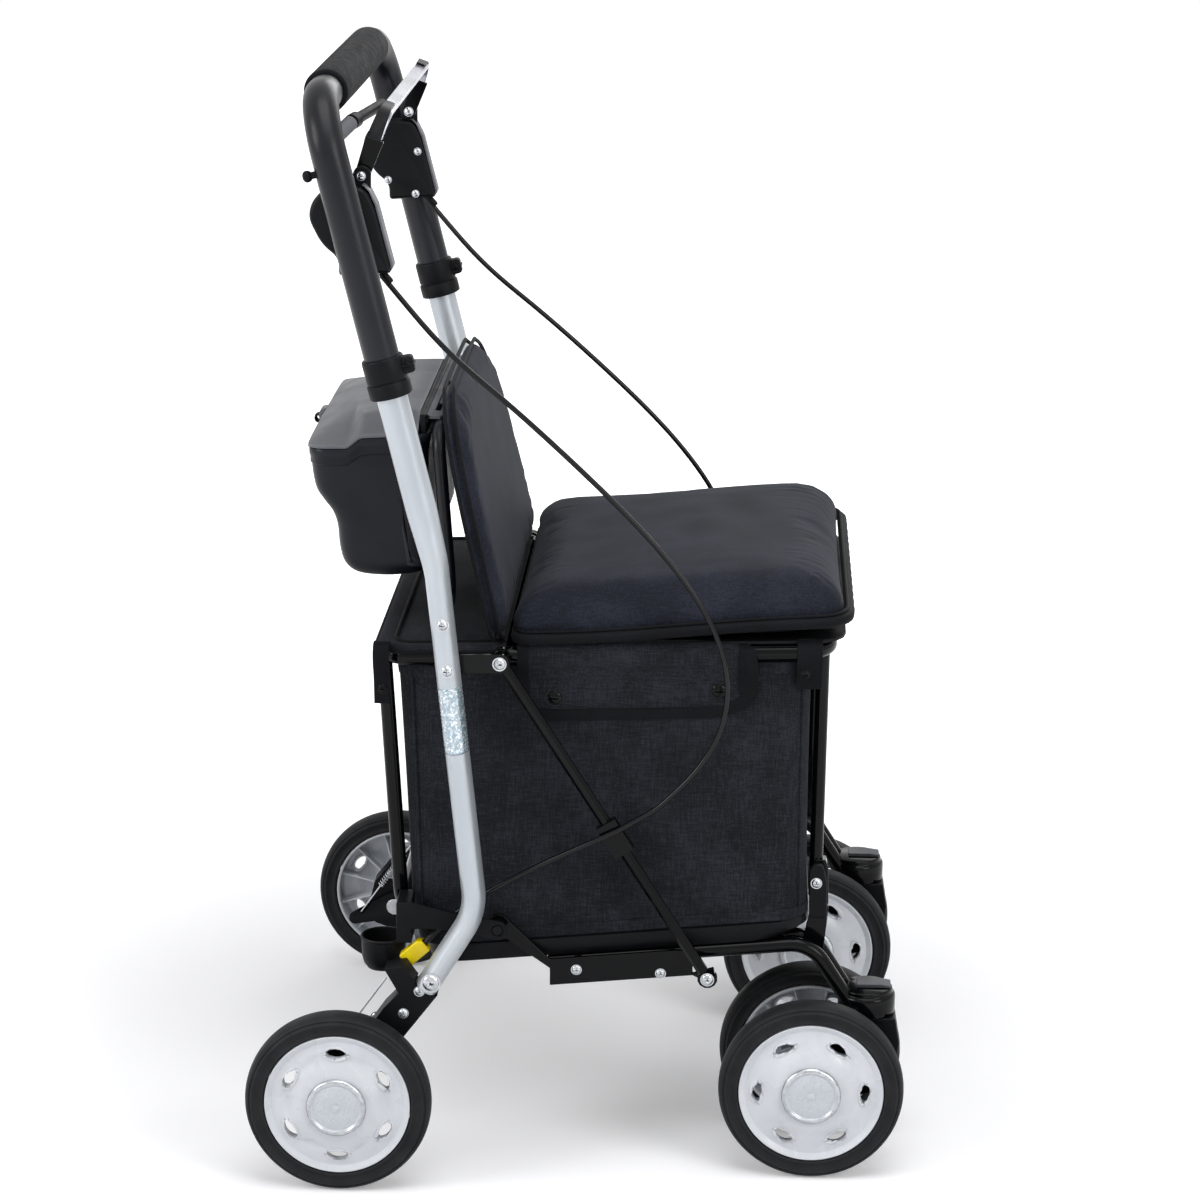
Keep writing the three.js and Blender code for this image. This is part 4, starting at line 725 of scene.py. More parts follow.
def head_tree():
    """Domed heads on points: each stands along its facing, and a cross is cut where Cross is above 0."""
    tree, entry = new_tree("fastener_heads", (
        ("Dome", "Float", 0.5), ("Cross", "Float", 0.2), ("Material", "Material", None),
    ))
    ball = add(tree, "GeometryNodeMeshUVSphere", {"Segments": 24, "Rings": 12, "Radius": 1.0})
    squat = add(tree, "ShaderNodeCombineXYZ", {"X": 1.0, "Y": 1.0, "Z": entry.outputs["Dome"]})
    dome = add(tree, "GeometryNodeTransform", {"Geometry": ball, "Scale": squat})
    washer = add(tree, "GeometryNodeMeshCylinder", {"Vertices": 28, "Radius": 1.16, "Depth": 0.16})
    bars = []
    for long_x in (True, False):
        cross = entry.outputs["Cross"]
        size = add(tree, "ShaderNodeCombineXYZ", {
            "X": 1.15 if long_x else cross, "Y": cross if long_x else 1.15, "Z": 0.5,
        })
        bar = add(tree, "GeometryNodeMeshCube", {"Size": size})
        raised = add(tree, "ShaderNodeCombineXYZ", {"Z": add(
            tree, "ShaderNodeMath", {0: entry.outputs["Dome"], 1: 0.08}, operation="ADD")})
        bars.append(add(tree, "GeometryNodeTransform", {"Geometry": bar, "Translation": raised}).outputs[0])
    cut = add(tree, "GeometryNodeMeshBoolean", {"Mesh 1": dome}, operation="DIFFERENCE")
    for bar in bars:
        tree.links.new(bar, cut.inputs["Mesh 2"])
    head = add(tree, "GeometryNodeJoinGeometry")
    tree.links.new(cut.outputs[0], head.inputs[0])
    tree.links.new(washer.outputs["Mesh"], head.inputs[0])
    facing = add(tree, "GeometryNodeInputNamedAttribute", {"Name": "facing"}, data_type="FLOAT_VECTOR")
    size = add(tree, "GeometryNodeInputNamedAttribute", {"Name": "size"}, data_type="FLOAT")
    turn = add(tree, "FunctionNodeAlignRotationToVector", {"Vector": facing}, axis="Z")
    spots = add(tree, "GeometryNodeMeshToPoints", {"Mesh": entry.outputs["Geometry"]})
    heads = add(tree, "GeometryNodeInstanceOnPoints", {
        "Points": spots, "Instance": head, "Rotation": turn, "Scale": size,
    })
    end_tree(tree, heads, entry)
    return tree


def rib_tree():
    """Radial ribs between a hub and a rim, turned about the X axis at Centre."""
    tree, entry = new_tree("wheel_ribs", (
        ("Count", "Int", 12), ("Inner", "Float", 0.02), ("Outer", "Float", 0.06), ("Thick", "Float", 0.002),
        ("Wide", "Float", 0.01), ("Turn", "Float", 0.0), ("Centre", "Vector", None), ("Material", "Material", None),
    ))
    middle = add(tree, "ShaderNodeMath", {0: entry.outputs["Inner"], 1: entry.outputs["Outer"]}, operation="ADD")
    middle = add(tree, "ShaderNodeMath", {0: middle, 1: 0.5}, operation="MULTIPLY")
    reach = add(tree, "ShaderNodeMath", {0: entry.outputs["Outer"], 1: entry.outputs["Inner"]}, operation="SUBTRACT")
    rim = add(tree, "GeometryNodeMeshCircle", {"Vertices": entry.outputs["Count"], "Radius": middle})
    size = add(tree, "ShaderNodeCombineXYZ", {"X": reach, "Y": entry.outputs["Thick"], "Z": entry.outputs["Wide"]})
    rib = add(tree, "GeometryNodeMeshCube", {"Size": size, "Vertices X": 6, "Vertices Y": 2, "Vertices Z": 3})
    outwards = add(tree, "GeometryNodeInputPosition")
    turn = add(tree, "FunctionNodeAlignRotationToVector", {"Vector": outwards}, axis="X")
    ribs = add(tree, "GeometryNodeInstanceOnPoints", {"Points": rim, "Instance": rib, "Rotation": turn})
    spin = add(tree, "ShaderNodeCombineXYZ", {"Z": entry.outputs["Turn"]})
    spun = add(tree, "GeometryNodeTransform", {"Geometry": ribs, "Rotation": spin})
    turned = add(tree, "GeometryNodeTransform", {
        "Geometry": spun, "Translation": entry.outputs["Centre"], "Rotation": (math.pi / 2, 0, math.pi / 2),
    })
    end_tree(tree, turned, entry)
    return tree


def stitch_tree():
    """Short stitches along an edge path, lying along it."""
    tree, entry = new_tree("stitches", (
        ("Pitch", "Float", 0.006), ("Length", "Float", 0.004), ("Thread", "Float", 0.0006),
        ("Material", "Material", None),
    ))
    path = add(tree, "GeometryNodeMeshToCurve", {"Mesh": entry.outputs["Geometry"]})
    even = add(tree, "GeometryNodeResampleCurve", {"Curve": path, "Length": entry.outputs["Pitch"]}, mode="LENGTH")
    bead = add(tree, "GeometryNodeMeshUVSphere", {"Segments": 8, "Rings": 6, "Radius": 0.5})
    size = add(tree, "ShaderNodeCombineXYZ", {
        "X": entry.outputs["Thread"], "Y": entry.outputs["Thread"], "Z": entry.outputs["Length"],
    })
    spots = add(tree, "GeometryNodeCurveToPoints", {"Curve": even}, mode="EVALUATED")
    turn_points = add(tree, "FunctionNodeAlignRotationToVector", {"Vector": spots.outputs["Tangent"]}, axis="Z")
    beads = add(tree, "GeometryNodeInstanceOnPoints", {
        "Points": spots, "Instance": bead, "Rotation": turn_points, "Scale": size,
    })
    end_tree(tree, beads, entry)
    return tree


def coil_tree():
    """A spring wound from Start along Run, which stand in the tree's inputs."""
    tree, entry = new_tree("spring", (
        ("Turns", "Float", 12.0), ("Length", "Float", 0.03), ("Radius", "Float", 0.003), ("Wire", "Float", 0.0004),
        ("Start", "Vector", None), ("Run", "Vector", None), ("Material", "Material", None),
    ))
    line = add(tree, "GeometryNodeCurveSpiral", {
        "Resolution": 24, "Rotations": entry.outputs["Turns"], "Start Radius": entry.outputs["Radius"],
        "End Radius": entry.outputs["Radius"], "Height": entry.outputs["Length"],
    })
    wire = add(tree, "GeometryNodeCurvePrimitiveCircle", {"Resolution": 8, "Radius": entry.outputs["Wire"]})
    body = add(tree, "GeometryNodeCurveToMesh", {"Curve": line, "Profile Curve": wire, "Fill Caps": True})
    turn = add(tree, "FunctionNodeAlignRotationToVector", {"Vector": entry.outputs["Run"]}, axis="Z")
    placed = add(tree, "GeometryNodeTransform", {
        "Geometry": body, "Translation": entry.outputs["Start"], "Rotation": turn,
    })
    end_tree(tree, placed, entry)
    return tree


HEADS, RIBS, STITCHES, COIL = head_tree(), rib_tree(), stitch_tree(), coil_tree()


def heads(name, body, places, coat=ZINC_STEEL, dome=0.5, cross=0.22, slot=None):
    """Fastener heads at (x, y, z, facing, radius)."""
    mesh = bpy.data.meshes.new(name)
    mesh.from_pydata(row([p[:3] for p in places]).tolist(), [], [])
    facing = mesh.attributes.new("facing", "FLOAT_VECTOR", "POINT")
    facing.data.foreach_set("vector", np.array([unit(p[3]) for p in places], float).ravel())
    size = mesh.attributes.new("size", "FLOAT", "POINT")
    size.data.foreach_set("value", [p[4] * MM for p in places])
    return grow(name, mesh, HEADS, body, {"Dome": dome, "Cross": cross, "Material": coat})


def path_mesh(name, points):
    mesh = bpy.data.meshes.new(name)
    mesh.from_pydata(row(points).tolist(), [(i, i + 1) for i in range(len(points) - 1)], [])
    return mesh


# Wheels: a rubber tyre on a white vented disc with a clear reflector on its hub

TYRE_SIDES = 144
TYRE_HALF = [
    (68.0, 0), (68.0, 9.0), (68.3, 11.4), (69.3, 13.2), (70.6, 13.6), (71.8, 13.0), (73.0, 12.5), (76.0, 12.9),
    (78.6, 13.9), (79.8, 14.4), (80.6, 13.9), (81.1, 12.6), (81.8, 12.1), (82.8, 12.4), (84.0, 11.6), (85.3, 9.6),
    (86.2, 6.8), (86.7, 3.6), (AXLE_HEIGHT, 0),
]
DISC_OUTER, VENT_RADIUS, VENT_COUNT = 67.6, 50.5, 6
VENT_LONG, VENT_WIDE, VENT_DEEP = 11.5, 5.6, 7.0
SECTOR_ACROSS, SECTOR_UP = 16, 12
DISC_IN, DISC_OUT = 38.0, 61.5


def disc_face(radius, angle):
    """How far the disc's face stands out, with a scoop on the hub side of each vent."""
    rise = np.interp(radius, (12, 26, 30, 38, 49, 50.5, 56, 61.5, 64, 66.5, 68), (
        17.0, 17.0, 16.8, 15.6, 12.6, 12.1, 10.9, 10.0, 11.6, 13.2, 13.2))
    half = math.pi / VENT_COUNT
    off = (angle + half) % (2 * half) - half
    across = off * radius / 13.0
    scoop = np.exp(-across ** 2 * 1.3) * np.exp(-((radius - 46.0) / 5.2) ** 2)
    return rise - 3.4 * scoop


def sector_border():
    """Border of one sector about its vent, as (share across, radius), from its lower left corner."""
    low = [(s / SECTOR_ACROSS, DISC_IN) for s in range(SECTOR_ACROSS)]
    right = [(1, mix(DISC_IN, DISC_OUT, s / SECTOR_UP)) for s in range(SECTOR_UP)]
    top = [(1 - s / SECTOR_ACROSS, DISC_OUT) for s in range(SECTOR_ACROSS)]
    left = [(0, mix(DISC_OUT, DISC_IN, s / SECTOR_UP)) for s in range(SECTOR_UP)]
    return low + right + top + left


def wheel(label, node, x, y, out, turn, body):
    """out is the side that the disc faces; turn sets where the first vent stands."""
    centre = (x, y, AXLE_HEIGHT)
    tyre = Form()
    profile = TYRE_HALF + [(r, -h) for r, h in TYRE_HALF[-2:0:-1]]
    tyre.lathe(profile, centre, (1, 0, 0), TYRE_SIDES, looped=True)
    piece(label + "_tyre_rubber", tyre, body, TYRE_RUBBER, (node + "_tyre",))

    def place(radius, angle, face):
        return np.stack([
            x + out * face, y + radius * np.cos(angle), AXLE_HEIGHT + radius * np.sin(angle),
        ], -1)

    disc = Form()
    border = np.array(sector_border())
    width = 2 * math.pi / VENT_COUNT
    layers = (0.0, 0.06, 0.14, 0.3, 0.55, 1.0)
    quarter = np.r_[np.arange(SECTOR_ACROSS) / SECTOR_ACROSS, 1 + np.arange(SECTOR_UP) / SECTOR_UP,
                    2 + np.arange(SECTOR_ACROSS) / SECTOR_ACROSS, 3 + np.arange(SECTOR_UP) / SECTOR_UP]
    lean = math.pi / 2 * (quarter - 2.5)
    for v in range(VENT_COUNT):
        middle = turn + v * width
        edge_angle = middle + (border[:, 0] - 0.5) * width
        edge_radius = border[:, 1]
        vent_across = VENT_LONG * np.cos(lean)
        vent_up = VENT_WIDE * np.sin(lean) * np.abs(np.sin(lean)) ** 0.45
        vent_radius = VENT_RADIUS + vent_up - vent_across ** 2 / (2 * VENT_RADIUS) * 0.3
        vent_angle = middle + vent_across / VENT_RADIUS
        rings = []
        for sink, shrink in ((VENT_DEEP, 0.86), (VENT_DEEP * 0.45, 0.93), (1.4, 0.965), (0.4, 0.985)):
            radius = VENT_RADIUS + (vent_radius - VENT_RADIUS) * shrink
            angle = middle + (vent_angle - middle) * shrink
            rings.append(place(radius, angle, disc_face(vent_radius, vent_angle) - sink))
        for layer in layers:
            radius = mix(vent_radius, edge_radius, layer)
            angle = mix(vent_angle, edge_angle, layer)
            rings.append(place(radius, angle, disc_face(radius, angle)))
        disc.skin(rings, caps=False)
    across = SECTOR_ACROSS * VENT_COUNT
    around = turn + (np.arange(across) / across - 0.5 / VENT_COUNT) * 2 * math.pi
    flat = np.ones_like(around)
    rings = [place(flat * r, around, disc_face(flat * r, around)) for r in (DISC_IN, 34.0, 30.0, 26.0, 12.0)]
    disc.skin(rings, caps=False)
    rings = [place(flat * r, around, disc_face(flat * r, around)) for r in (DISC_OUT, 63.0, 64.5, 66.0, 67.0)]
    rings += [place(flat * DISC_OUTER, around, flat * h) for h in (12.8, 5.0, -6.0, -11.5)]
    rings += [place(flat * 66.6, around, flat * -12.2), place(flat * 64.6, around, flat * -12.0)]
    disc.skin(rings, caps=False)
    piece(label + "_disc", disc, body, DISC_PLASTIC, (node + "_rim",), thick=1.6)
    hub = Form()
    hub.lathe([(6, -26.9), (12.6, -26.9), (13.4, -26.0), (14.4, -8.0), (15.5, 16.2), (6, 16.2)],
              centre, (out, 0, 0), 48, looped=True)
    hub.lathe([(27.5, 6.5), (29.5, 6.5), (29.5, 16.0), (27.5, 16.0)], centre, (out, 0, 0), 64, looped=True)
    piece(label + "_hub", hub, body, DISC_PLASTIC, bevel=0.6)
    grow(label + "_web_ribs", bpy.data.meshes.new(label + "_ribs"), RIBS, body, {
        "Count": 12, "Turn": turn + math.pi / 12, "Inner": 0.0135, "Outer": 0.0662, "Thick": 0.0016, "Wide": 0.012,
        "Centre": spot(x + out * 2.2, y, AXLE_HEIGHT), "Material": DISC_PLASTIC,
    })

    cap = Form()
    cap.lathe([(0, 15.5), (25.0, 15.5), (27.2, 16.6), (27.8, 18.2), (27.6, 20.0), (26.4, 21.3), (24.4, 21.8),
               (22.9, 21.6), (22.3, 20.9), (21.6, 20.7), (0, 20.7)], centre, (out, 0, 0), 72)
    rays = 40
    spin = np.arange(rays * 2) * math.pi / rays
    lift = np.where(np.arange(rays * 2) % 2 == 0, 0.55, 0.0)
    star = [place(np.full_like(spin, r), spin, 20.7 + h + lift * s) for r, h, s in (
        (21.5, -0.6, 0), (21.5, 0.0, 0.4), (19.0, 0.3, 1.0), (11.0, 0.7, 0.8), (4.6, 0.9, 0.3), (4.0, 0.9, 0.0))]
    cap.skin(star)
    cap.lathe([(0, 20.0), (3.9, 20.0), (3.9, 21.9), (3.2, 22.4), (0, 22.5)], centre, (out, 0, 0), 32)
    piece(label + "_reflector_cap", cap, body, REFLECTOR)
    # A bright ring under the clear skin breaks the light into arcs round the cap
    ring = Form()
    ring.lathe([(23.4, 21.5), (24.0, 22.0), (25.2, 21.9), (26.6, 21.3), (27.7, 20.1), (28.0, 18.6), (27.4, 18.4),
                (24.0, 21.2)], centre, (out, 0, 0), 72, looped=True)
    piece(label + "_reflector_ring", ring, body, ZINC_STEEL)


REAR_TRACK, CASTER_TRACK, TWIN_PITCH = 566.6, 364.8, 99.0
for side, s in BOTH:
    wheel("rear_wheel_" + side, "rear_" + side, s * REAR_TRACK / 2, 0, s, math.pi / 2, "rear_wheel_" + side)
    for label, out in (("outer", 1), ("inner", -1)):
        x = s * (CASTER_TRACK / 2 + out * TWIN_PITCH / 2)
        wheel(f"front_wheel_{side}_{label}", f"front_{side}_{label}", x, -WHEELBASE, s * out, 0.0,
              f"front_wheel_{side}_{label}")


# Uprights, push handle and clamp collars

TILT = math.radians(13.8)
SPREAD = 246.0
UPRIGHT_TOP = 747
BEND = (-91.5, 591.0)


def on_upright(z):
    return BEND[0] + (z - BEND[1]) * math.tan(TILT)


def along_upright(z, along):
    """The point that lies along millimetres up the upright's line from height z."""
    return on_upright(z) + along * math.sin(TILT), z + along * math.cos(TILT)


def upright_line():
    top, turn = (0, on_upright(850), 850), (0, on_upright(640), 640)
    corners = [top, turn, (0, *BEND), (0, -125.5, 262), (0, -79, 186)]
    return bent(corners, [0, 150, 60], 14)


def upright_section(z, swell=0.0):
    share = min(max((z - 580) / 60, 0), 1)
    return mix(17, 14, share) + swell, mix(11, 14, share) + swell


for side, s in BOTH:
    spots, runs = upright_line()
    spots = spots + np.array((s * SPREAD, 0, 0))
    tube = Form()
    tube.skin(swept(spots, runs, lambda i: ring2d(upright_section(spots[i][2]), 40)))
    piece("upright_tube_" + side, tube, "rear_frame", ALUMINIUM, ("upright_" + side,), bevel=1.2)
    tape = Form()
    heights = np.linspace(480, 418, 40)
    line = np.array([(s * SPREAD, np.interp(z, spots[::-1, 2], spots[::-1, 1]), z) for z in heights])
    rings = []
    for k, (middle, run) in enumerate(zip(line, headings(line))):
        wide, deep = upright_section(middle[2], 0.35)
        over = unit(np.cross(run, (1, 0, 0)))
        # The film's cut edges are notched by its facets
        notch = 0.05 * (k % 2)
        turn = np.linspace(-0.5 + notch, 0.5 - notch, 40) * math.pi + (0 if s > 0 else math.pi)
        rings.append(middle + np.outer(np.cos(turn) * wide, (1, 0, 0)) + np.outer(np.sin(turn) * deep, over))
    tape.skin(rings, closed=False)
    piece("reflective_tape_" + side, tape, "rear_frame", PRISM_TAPE, thick=0.3)
    out = (s, 0, 0)
    heads("upright_rivets_" + side, "rear_frame", [
        (s * 262.6, -98.2, 540.7, out, 5.2), (s * 262.6, -101.9, 497.5, out, 5.2),
    ], dome=0.62, cross=0.0)
    heads("foot_screw_" + side, "rear_frame", [(s * 263.0, -84.9, 196.4, out, 8.0)], dome=0.45, cross=0.24)

HANDLE_R, HANDLE_BORE = 16.0, 14.4
GRIP_Z = 1006.0
GRIP_Y = on_upright(GRIP_Z)
foot_y, foot_z = along_upright(UPRIGHT_TOP, 8.3)
bore_y, bore_z = along_upright(UPRIGHT_TOP, 196)
corners = [(-SPREAD, foot_y, foot_z), (-SPREAD, GRIP_Y, GRIP_Z), (SPREAD, GRIP_Y, GRIP_Z), (SPREAD, foot_y, foot_z)]
spots, runs = bent(corners, 50, 18)
shell = swept(spots, runs, lambda i: ring2d(HANDLE_R, 40))


def bore_rings(x, end):
    """The inside of one end of the bent tube, from its mouth upwards."""
    section = (shell[end] - spots[end]) * (HANDLE_BORE / HANDLE_R)
    return [np.array((x, y, z)) + section for y, z in ((foot_y, foot_z), (bore_y, bore_z))]


handle = Form()
handle.skin(bore_rings(-SPREAD, 0)[::-1] + list(shell) + bore_rings(SPREAD, -1))
piece("push_handle", handle, "handle", POWDER_COAT, ("handle_tube",))
grip = Form()
half = [(17.4, 172.0), (18.8, 171.8), (19.6, 171.0), (20.0, 169.6), (20.0, 120.0), (20.15, 60.0)]
grip.lathe([(16.2, 172)] + half + [(20.15, -60.0), (20.0, -120.0)] + [(r, -h) for r, h in half[3::-1]]
           + [(16.2, -172)], (0, GRIP_Y, GRIP_Z), (1, 0, 0), 56, looped=True)
piece("foam_grip", grip, "handle", FOAM, ("handle_grip",))

UP = (0, math.sin(TILT), math.cos(TILT))
AHEAD = np.array((0, -math.cos(TILT), math.sin(TILT)))
for side, s in BOTH:
    centre = (s * SPREAD, *along_upright(UPRIGHT_TOP, 0))
    collar = Form()
    profile = [(14.5, 0), (18.2, 0), (19.4, 0.8), (19.6, 2.2), (19.6, 12.2), (19.0, 13.2), (17.9, 13.6), (17.8, 14.6),
               (18.6, 15.0), (18.9, 16.0), (18.9, 33.8), (18.4, 35.2), (17.4, 36.0), (16.3, 36.0), (16.3, 8.4),
               (14.5, 8.4)]
    collar.lathe(profile, centre, UP, 64, looped=True)
    lug = soften([(-7, 17), (7, 17), (7, 33), (-7, 33)], 2.2)
    rings = []
    for reach, narrow in ((15.0, 0), (24.2, 0.4), (26.2, 1.2), (27.0, 2.6)):
        ring = []
        for u, v in lug:
            shrink = 1 - narrow / 8
            ring.append(np.array(centre) + AHEAD * reach + np.array((u * shrink, 0, 0))
                        + np.array(UP) * (25 + (v - 25) * shrink))
        rings.append(ring)
    collar.skin(rings)
    rings = [[np.array(centre) + AHEAD * reach + np.array((u * 1.15, 0, 0)) + np.array(UP) * (25 + (v - 25) * 0.16)
              for u, v in lug] for reach in (15.0, 27.6)]
    collar.skin(rings)
    piece("clamp_collar_" + side, collar, "handle", BLACK_NYLON, ("collar_" + side,))
    bolt = np.array(centre) + AHEAD * 21.5 + np.array(UP) * 25
    heads("collar_bolt_" + side, "handle", [
        (bolt[0] + s * 7.0, bolt[1], bolt[2], (s, 0, 0), 3.0), (bolt[0] - s * 7.0, bolt[1], bolt[2], (-s, 0, 0), 3.0),
    ], BLACK_NYLON)


# Brake housings, lever and its link rod

LEVER_Y, LEVER_Z = -25.6, 938.5
HOUSING = soften([(-51, 853), (-5, 850), (-5, 866), (10, 878), (22, 902), (17, 919), (0, 930), (-30, 930), (-38, 914),
                  (-52, 858)], [6, 4, 10, 14, 16, 12, 14, 9, 12, 5], 6)
for side, s in BOTH:
    housing = Form()
    housing.slab(HOUSING, ((201.0, 3.4), (201.8, 1.8), (203.6, 0.6), (206.5, 0),
                           (222.5, 0), (226.4, 0.7), (228.8, 2.0), (229.7, 3.6)), s)
    housing.lathe([(0, 209.2), (7.4, 209.2), (8, 209.8), (8, 214.4), (7.4, 215), (0, 215)],
                  (0, LEVER_Y, LEVER_Z), (s, 0, 0), 40)
    neck = soften([(-33.4, 926), (-18, 926), (-17.8, 938), (-33.4, 938)], 1.0, 2)
    housing.plate(neck, s * 209.4, s * 214.8)
    piece("brake_housing_moulding_" + side, housing, "handle", BLACK_NYLON, ("brake_housing_" + side,))
    refined("lever_arm_" + side, GLOSS_ENAMEL, 0.9)
    heads("housing_screws_" + side, "handle", [
        (s * 200.9, -34.4, 899.4, (-s, 0, 0), 3.3), (s * 200.9, -4.4, 870.4, (-s, 0, 0), 3.3),
        (s * 200.9, -31.9, 856.9, (-s, 0, 0), 3.3),
    ])
    heads("lever_pivot_" + side, "brake_lever", [
        (s * 203.6, LEVER_Y, LEVER_Z, (-s, 0, 0), 4.2), (s * 220.6, LEVER_Y, LEVER_Z, (s, 0, 0), 3.6)])
    # The cover strip wraps the front of the housing; its grey is a painted highlight, standing in for the light that
    # the rounded front edge reflects
    cover = Form()
    front = [(-52.0, 855.5), (-53.6, 859), (-39.6, 914), (-33.5, 926.5), (-29, 931.6), (-26, 931.4), (-32, 925),
             (-37.1, 913), (-50.4, 859), (-50, 855.5)]
    cover.slab(soften(front, 1.6), ((204.0, 1.2), (204.8, 0.3), (206, 0), (223, 0), (225, 0.3), (226.2, 1.2)), s)
    piece("housing_front_highlight_strip_" + side, cover, "handle", LID_PLASTIC)

# A sleeved link runs from the near handle tube to the lever bar, and a knob stands behind that tube
low, middle, high = np.array([(-234.0, -6.2, 975.4), (-212.0, -16.6, 984.6), (-132.0, -36.0, 990.6)])
link = Form()
link.tube([low, middle], 6.8, 0, 24)
piece("link_sleeve", link, "handle", LID_PLASTIC, bevel=1.2)
link = Form()
link.tube([mix(low, middle, 0.7), middle, high], 5.0, 6, 24)
link.tube([middle, mix(middle, high, 0.16)], 7.0, 0, 24)
rod = piece("link_rod", link, None, BLACK_NYLON, bevel=0.8)
spot(*middle)
spot(*high)
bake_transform(rod)
knob = Form()
behind = np.array((0, math.cos(TILT), -math.sin(TILT)))
seat_of_knob = np.array((-SPREAD, on_upright(947), 947)) + behind * 14
knob.lathe([(0, 0), (3.2, 0), (3.2, 5.5), (4.4, 6.6), (5.2, 8.4), (5.2, 10.6), (4.2, 12.4), (2.2, 13.4), (0, 13.6)],
           seat_of_knob, behind, 32)
piece("stop_knob", knob, "handle", BLACK_NYLON)

refined("lever_bar", BRUSHED_STEEL, 0.8)
LEAN = math.radians(19.7)


def on_lever(across, reach, forward):
    return (across, LEVER_Y - reach * math.sin(LEAN) - forward * math.cos(LEAN),
            LEVER_Z + reach * math.cos(LEAN) - forward * math.sin(LEAN))


# Black covers follow the outside of the bar round its bends, and leave its front edge bright
for side, s in BOTH:
    path = [(168.2 + 38 * math.cos(a), 16.7 + 38 * math.sin(a), math.cos(a), math.sin(a))
            for a in np.radians(np.linspace(22, 90, 14))]
    path += [(x, 54.7, 0.0, 1.0) for x in (160, 150, 142)]
    rings = []
    for i, (x, reach, u, v) in enumerate(path):
        wide = mix(6.6, 4.4, i / (len(path) - 1))
        rings.append([on_lever(s * (x + u * t), reach + v * t, -1.2 + f * wide) for t, f in (
            (2.0, 1), (3.4, 1), (3.9, 0.9), (3.9, -0.9), (3.4, -1), (2.0, -1))])
    shield = Form()
    shield.skin(rings)
    piece("lever_shield_" + side, shield, "brake_lever", BLACK_NYLON, bevel=0.3)


# Seat rings, rear hoop, backrest tube

SEAT_PIN = (-147.0, 495.0)
SEAT_TILT = math.atan2(9, 300)
SEAT_LONG = math.hypot(9, 300)
RING_HALF, RING_REAR, RING_BEND = 200, 111, 30
HOOP_Y = -37.5


def on_seat(x, y, z=0.0):
    """A point given from the seat's pin, in the plane of the rings."""
    c, t = math.cos(SEAT_TILT), math.sin(SEAT_TILT)
    return x, SEAT_PIN[0] + y * c + z * t, SEAT_PIN[1] - y * t + z * c


rear = Form()
rear.tube([on_seat(-RING_HALF, 10.5), on_seat(-RING_HALF, RING_REAR),
           on_seat(RING_HALF, RING_REAR), on_seat(RING_HALF, 10.5)], 8, RING_BEND, 28, 14)
for side, s in BOTH:
    rear.pin(6, 29.1, on_seat(s * RING_HALF, 41), (s, 0, 0), 32)
    rear.pin(4, 37.1, on_seat(s * 192, 0), (s, 0, 0))
    outline = soften([(-9, -9), (50, -9), (50, 9), (-9, 9)], 8.9, 8)
    rear.skin([[on_seat(s * x, u, v) for u, v in outline] for x in (224.9, 229.1)])
piece("rear_seat_ring", rear, "rear_frame", GLOSS_ENAMEL, ("rear_ring",), bevel=0.7)
front = Form()
front.tube([on_seat(-RING_HALF, -4), on_seat(-RING_HALF, -SEAT_LONG),
            on_seat(RING_HALF, -SEAT_LONG), on_seat(RING_HALF, -4)], 8, RING_BEND, 28, 14)
for s in (1, -1):
    front.lathe([(4.3, -7.8), (9.2, -7.8), (9.2, 7.8), (4.3, 7.8)],
                on_seat(s * RING_HALF, 0), (1, 0, 0), 40, looped=True)
piece("front_seat_ring", front, "seat_ring", GLOSS_ENAMEL, ("front_ring",), bevel=0.7)
for side, s in BOTH:
    heads("ring_pin_heads_" + side, "rear_frame", [(*on_seat(s * 229.2, 0), (s, 0, 0), 5.6)], cross=0.26)

hoop = Form()
under = on_seat(0, HOOP_Y - SEAT_PIN[0], -8)[2] - 0.3
hoop.tube([(-185, HOOP_Y, under), (-185, -51, 244), (185, -51, 244), (185, HOOP_Y, under)], 7, 22, 24, 10)
piece("rear_hoop_tube", hoop, "rear_frame", GLOSS_ENAMEL, ("rear_hoop",), bevel=0.8)
rest = Form()
rest.tube([(-229.1, -97, 541), (-161, -97, 541), (-161, -86, 696),
           (161, -86, 696), (161, -97, 541), (229.1, -97, 541)], 6, 24, 24, 10)
piece("backrest_tube", rest, "rear_frame", POWDER_COAT, ("backrest_frame",), bevel=0.8)


# Brackets, brake parts and the stick cup

for side, s in BOTH:
    out, inward = (s, 0, 0), (-s, 0, 0)
    for node, coat, bevel in (
        ("rear_bracket_", BLACK_NYLON, 2.2), ("side_bracket_", BLACK_NYLON, 1.2), ("brake_arm_", BLACK_NYLON, 1.0),
        ("cable_adjuster_", YELLOW_ACETAL, 1.6), ("rear_axle_", ZINC_STEEL, 0.8),
    ):
        refined(node + side, coat, bevel)
    heads("bracket_screws_" + side, "rear_frame", [
        (s * 256.2, -73.6, 185.2, out, 4.4), (s * 256.2, -58.5, 163, out, 4.4),
        (s * 231.8, 3, 121, inward, 4.2), (s * 231.8, -30, 149, inward, 4.2),
    ])

cup = Form()
cup.lathe([(0, 0), (12.5, 0), (15.5, 0.8), (18.8, 5.5), (20.6, 12.5), (20.9, 29.2), (21.6, 29.8), (21.9, 31.0),
           (21.4, 31.9), (20.2, 32.0), (19.4, 31.4), (19.0, 29.0), (18.7, 13.0), (16.8, 6.8), (12.0, 2.4), (0, 2.0)],
          (-206, -35.5, 189.7), (0, 0, 1), 72)
piece("stick_cup_bowl", cup, "rear_frame", BLACK_NYLON, ("stick_cup",))


# Folding deck: twin tubes, caster heads, channels, posts, tray

DECK_TILT = math.radians(5.5)
PIN_Y, PIN_Z = -144.0, 236.0
FOOT_Y, FOOT_Z = -444.0, 245.0
HEAD_Y = -490.0
BRACE_Y, BRACE_Z = -340, 190


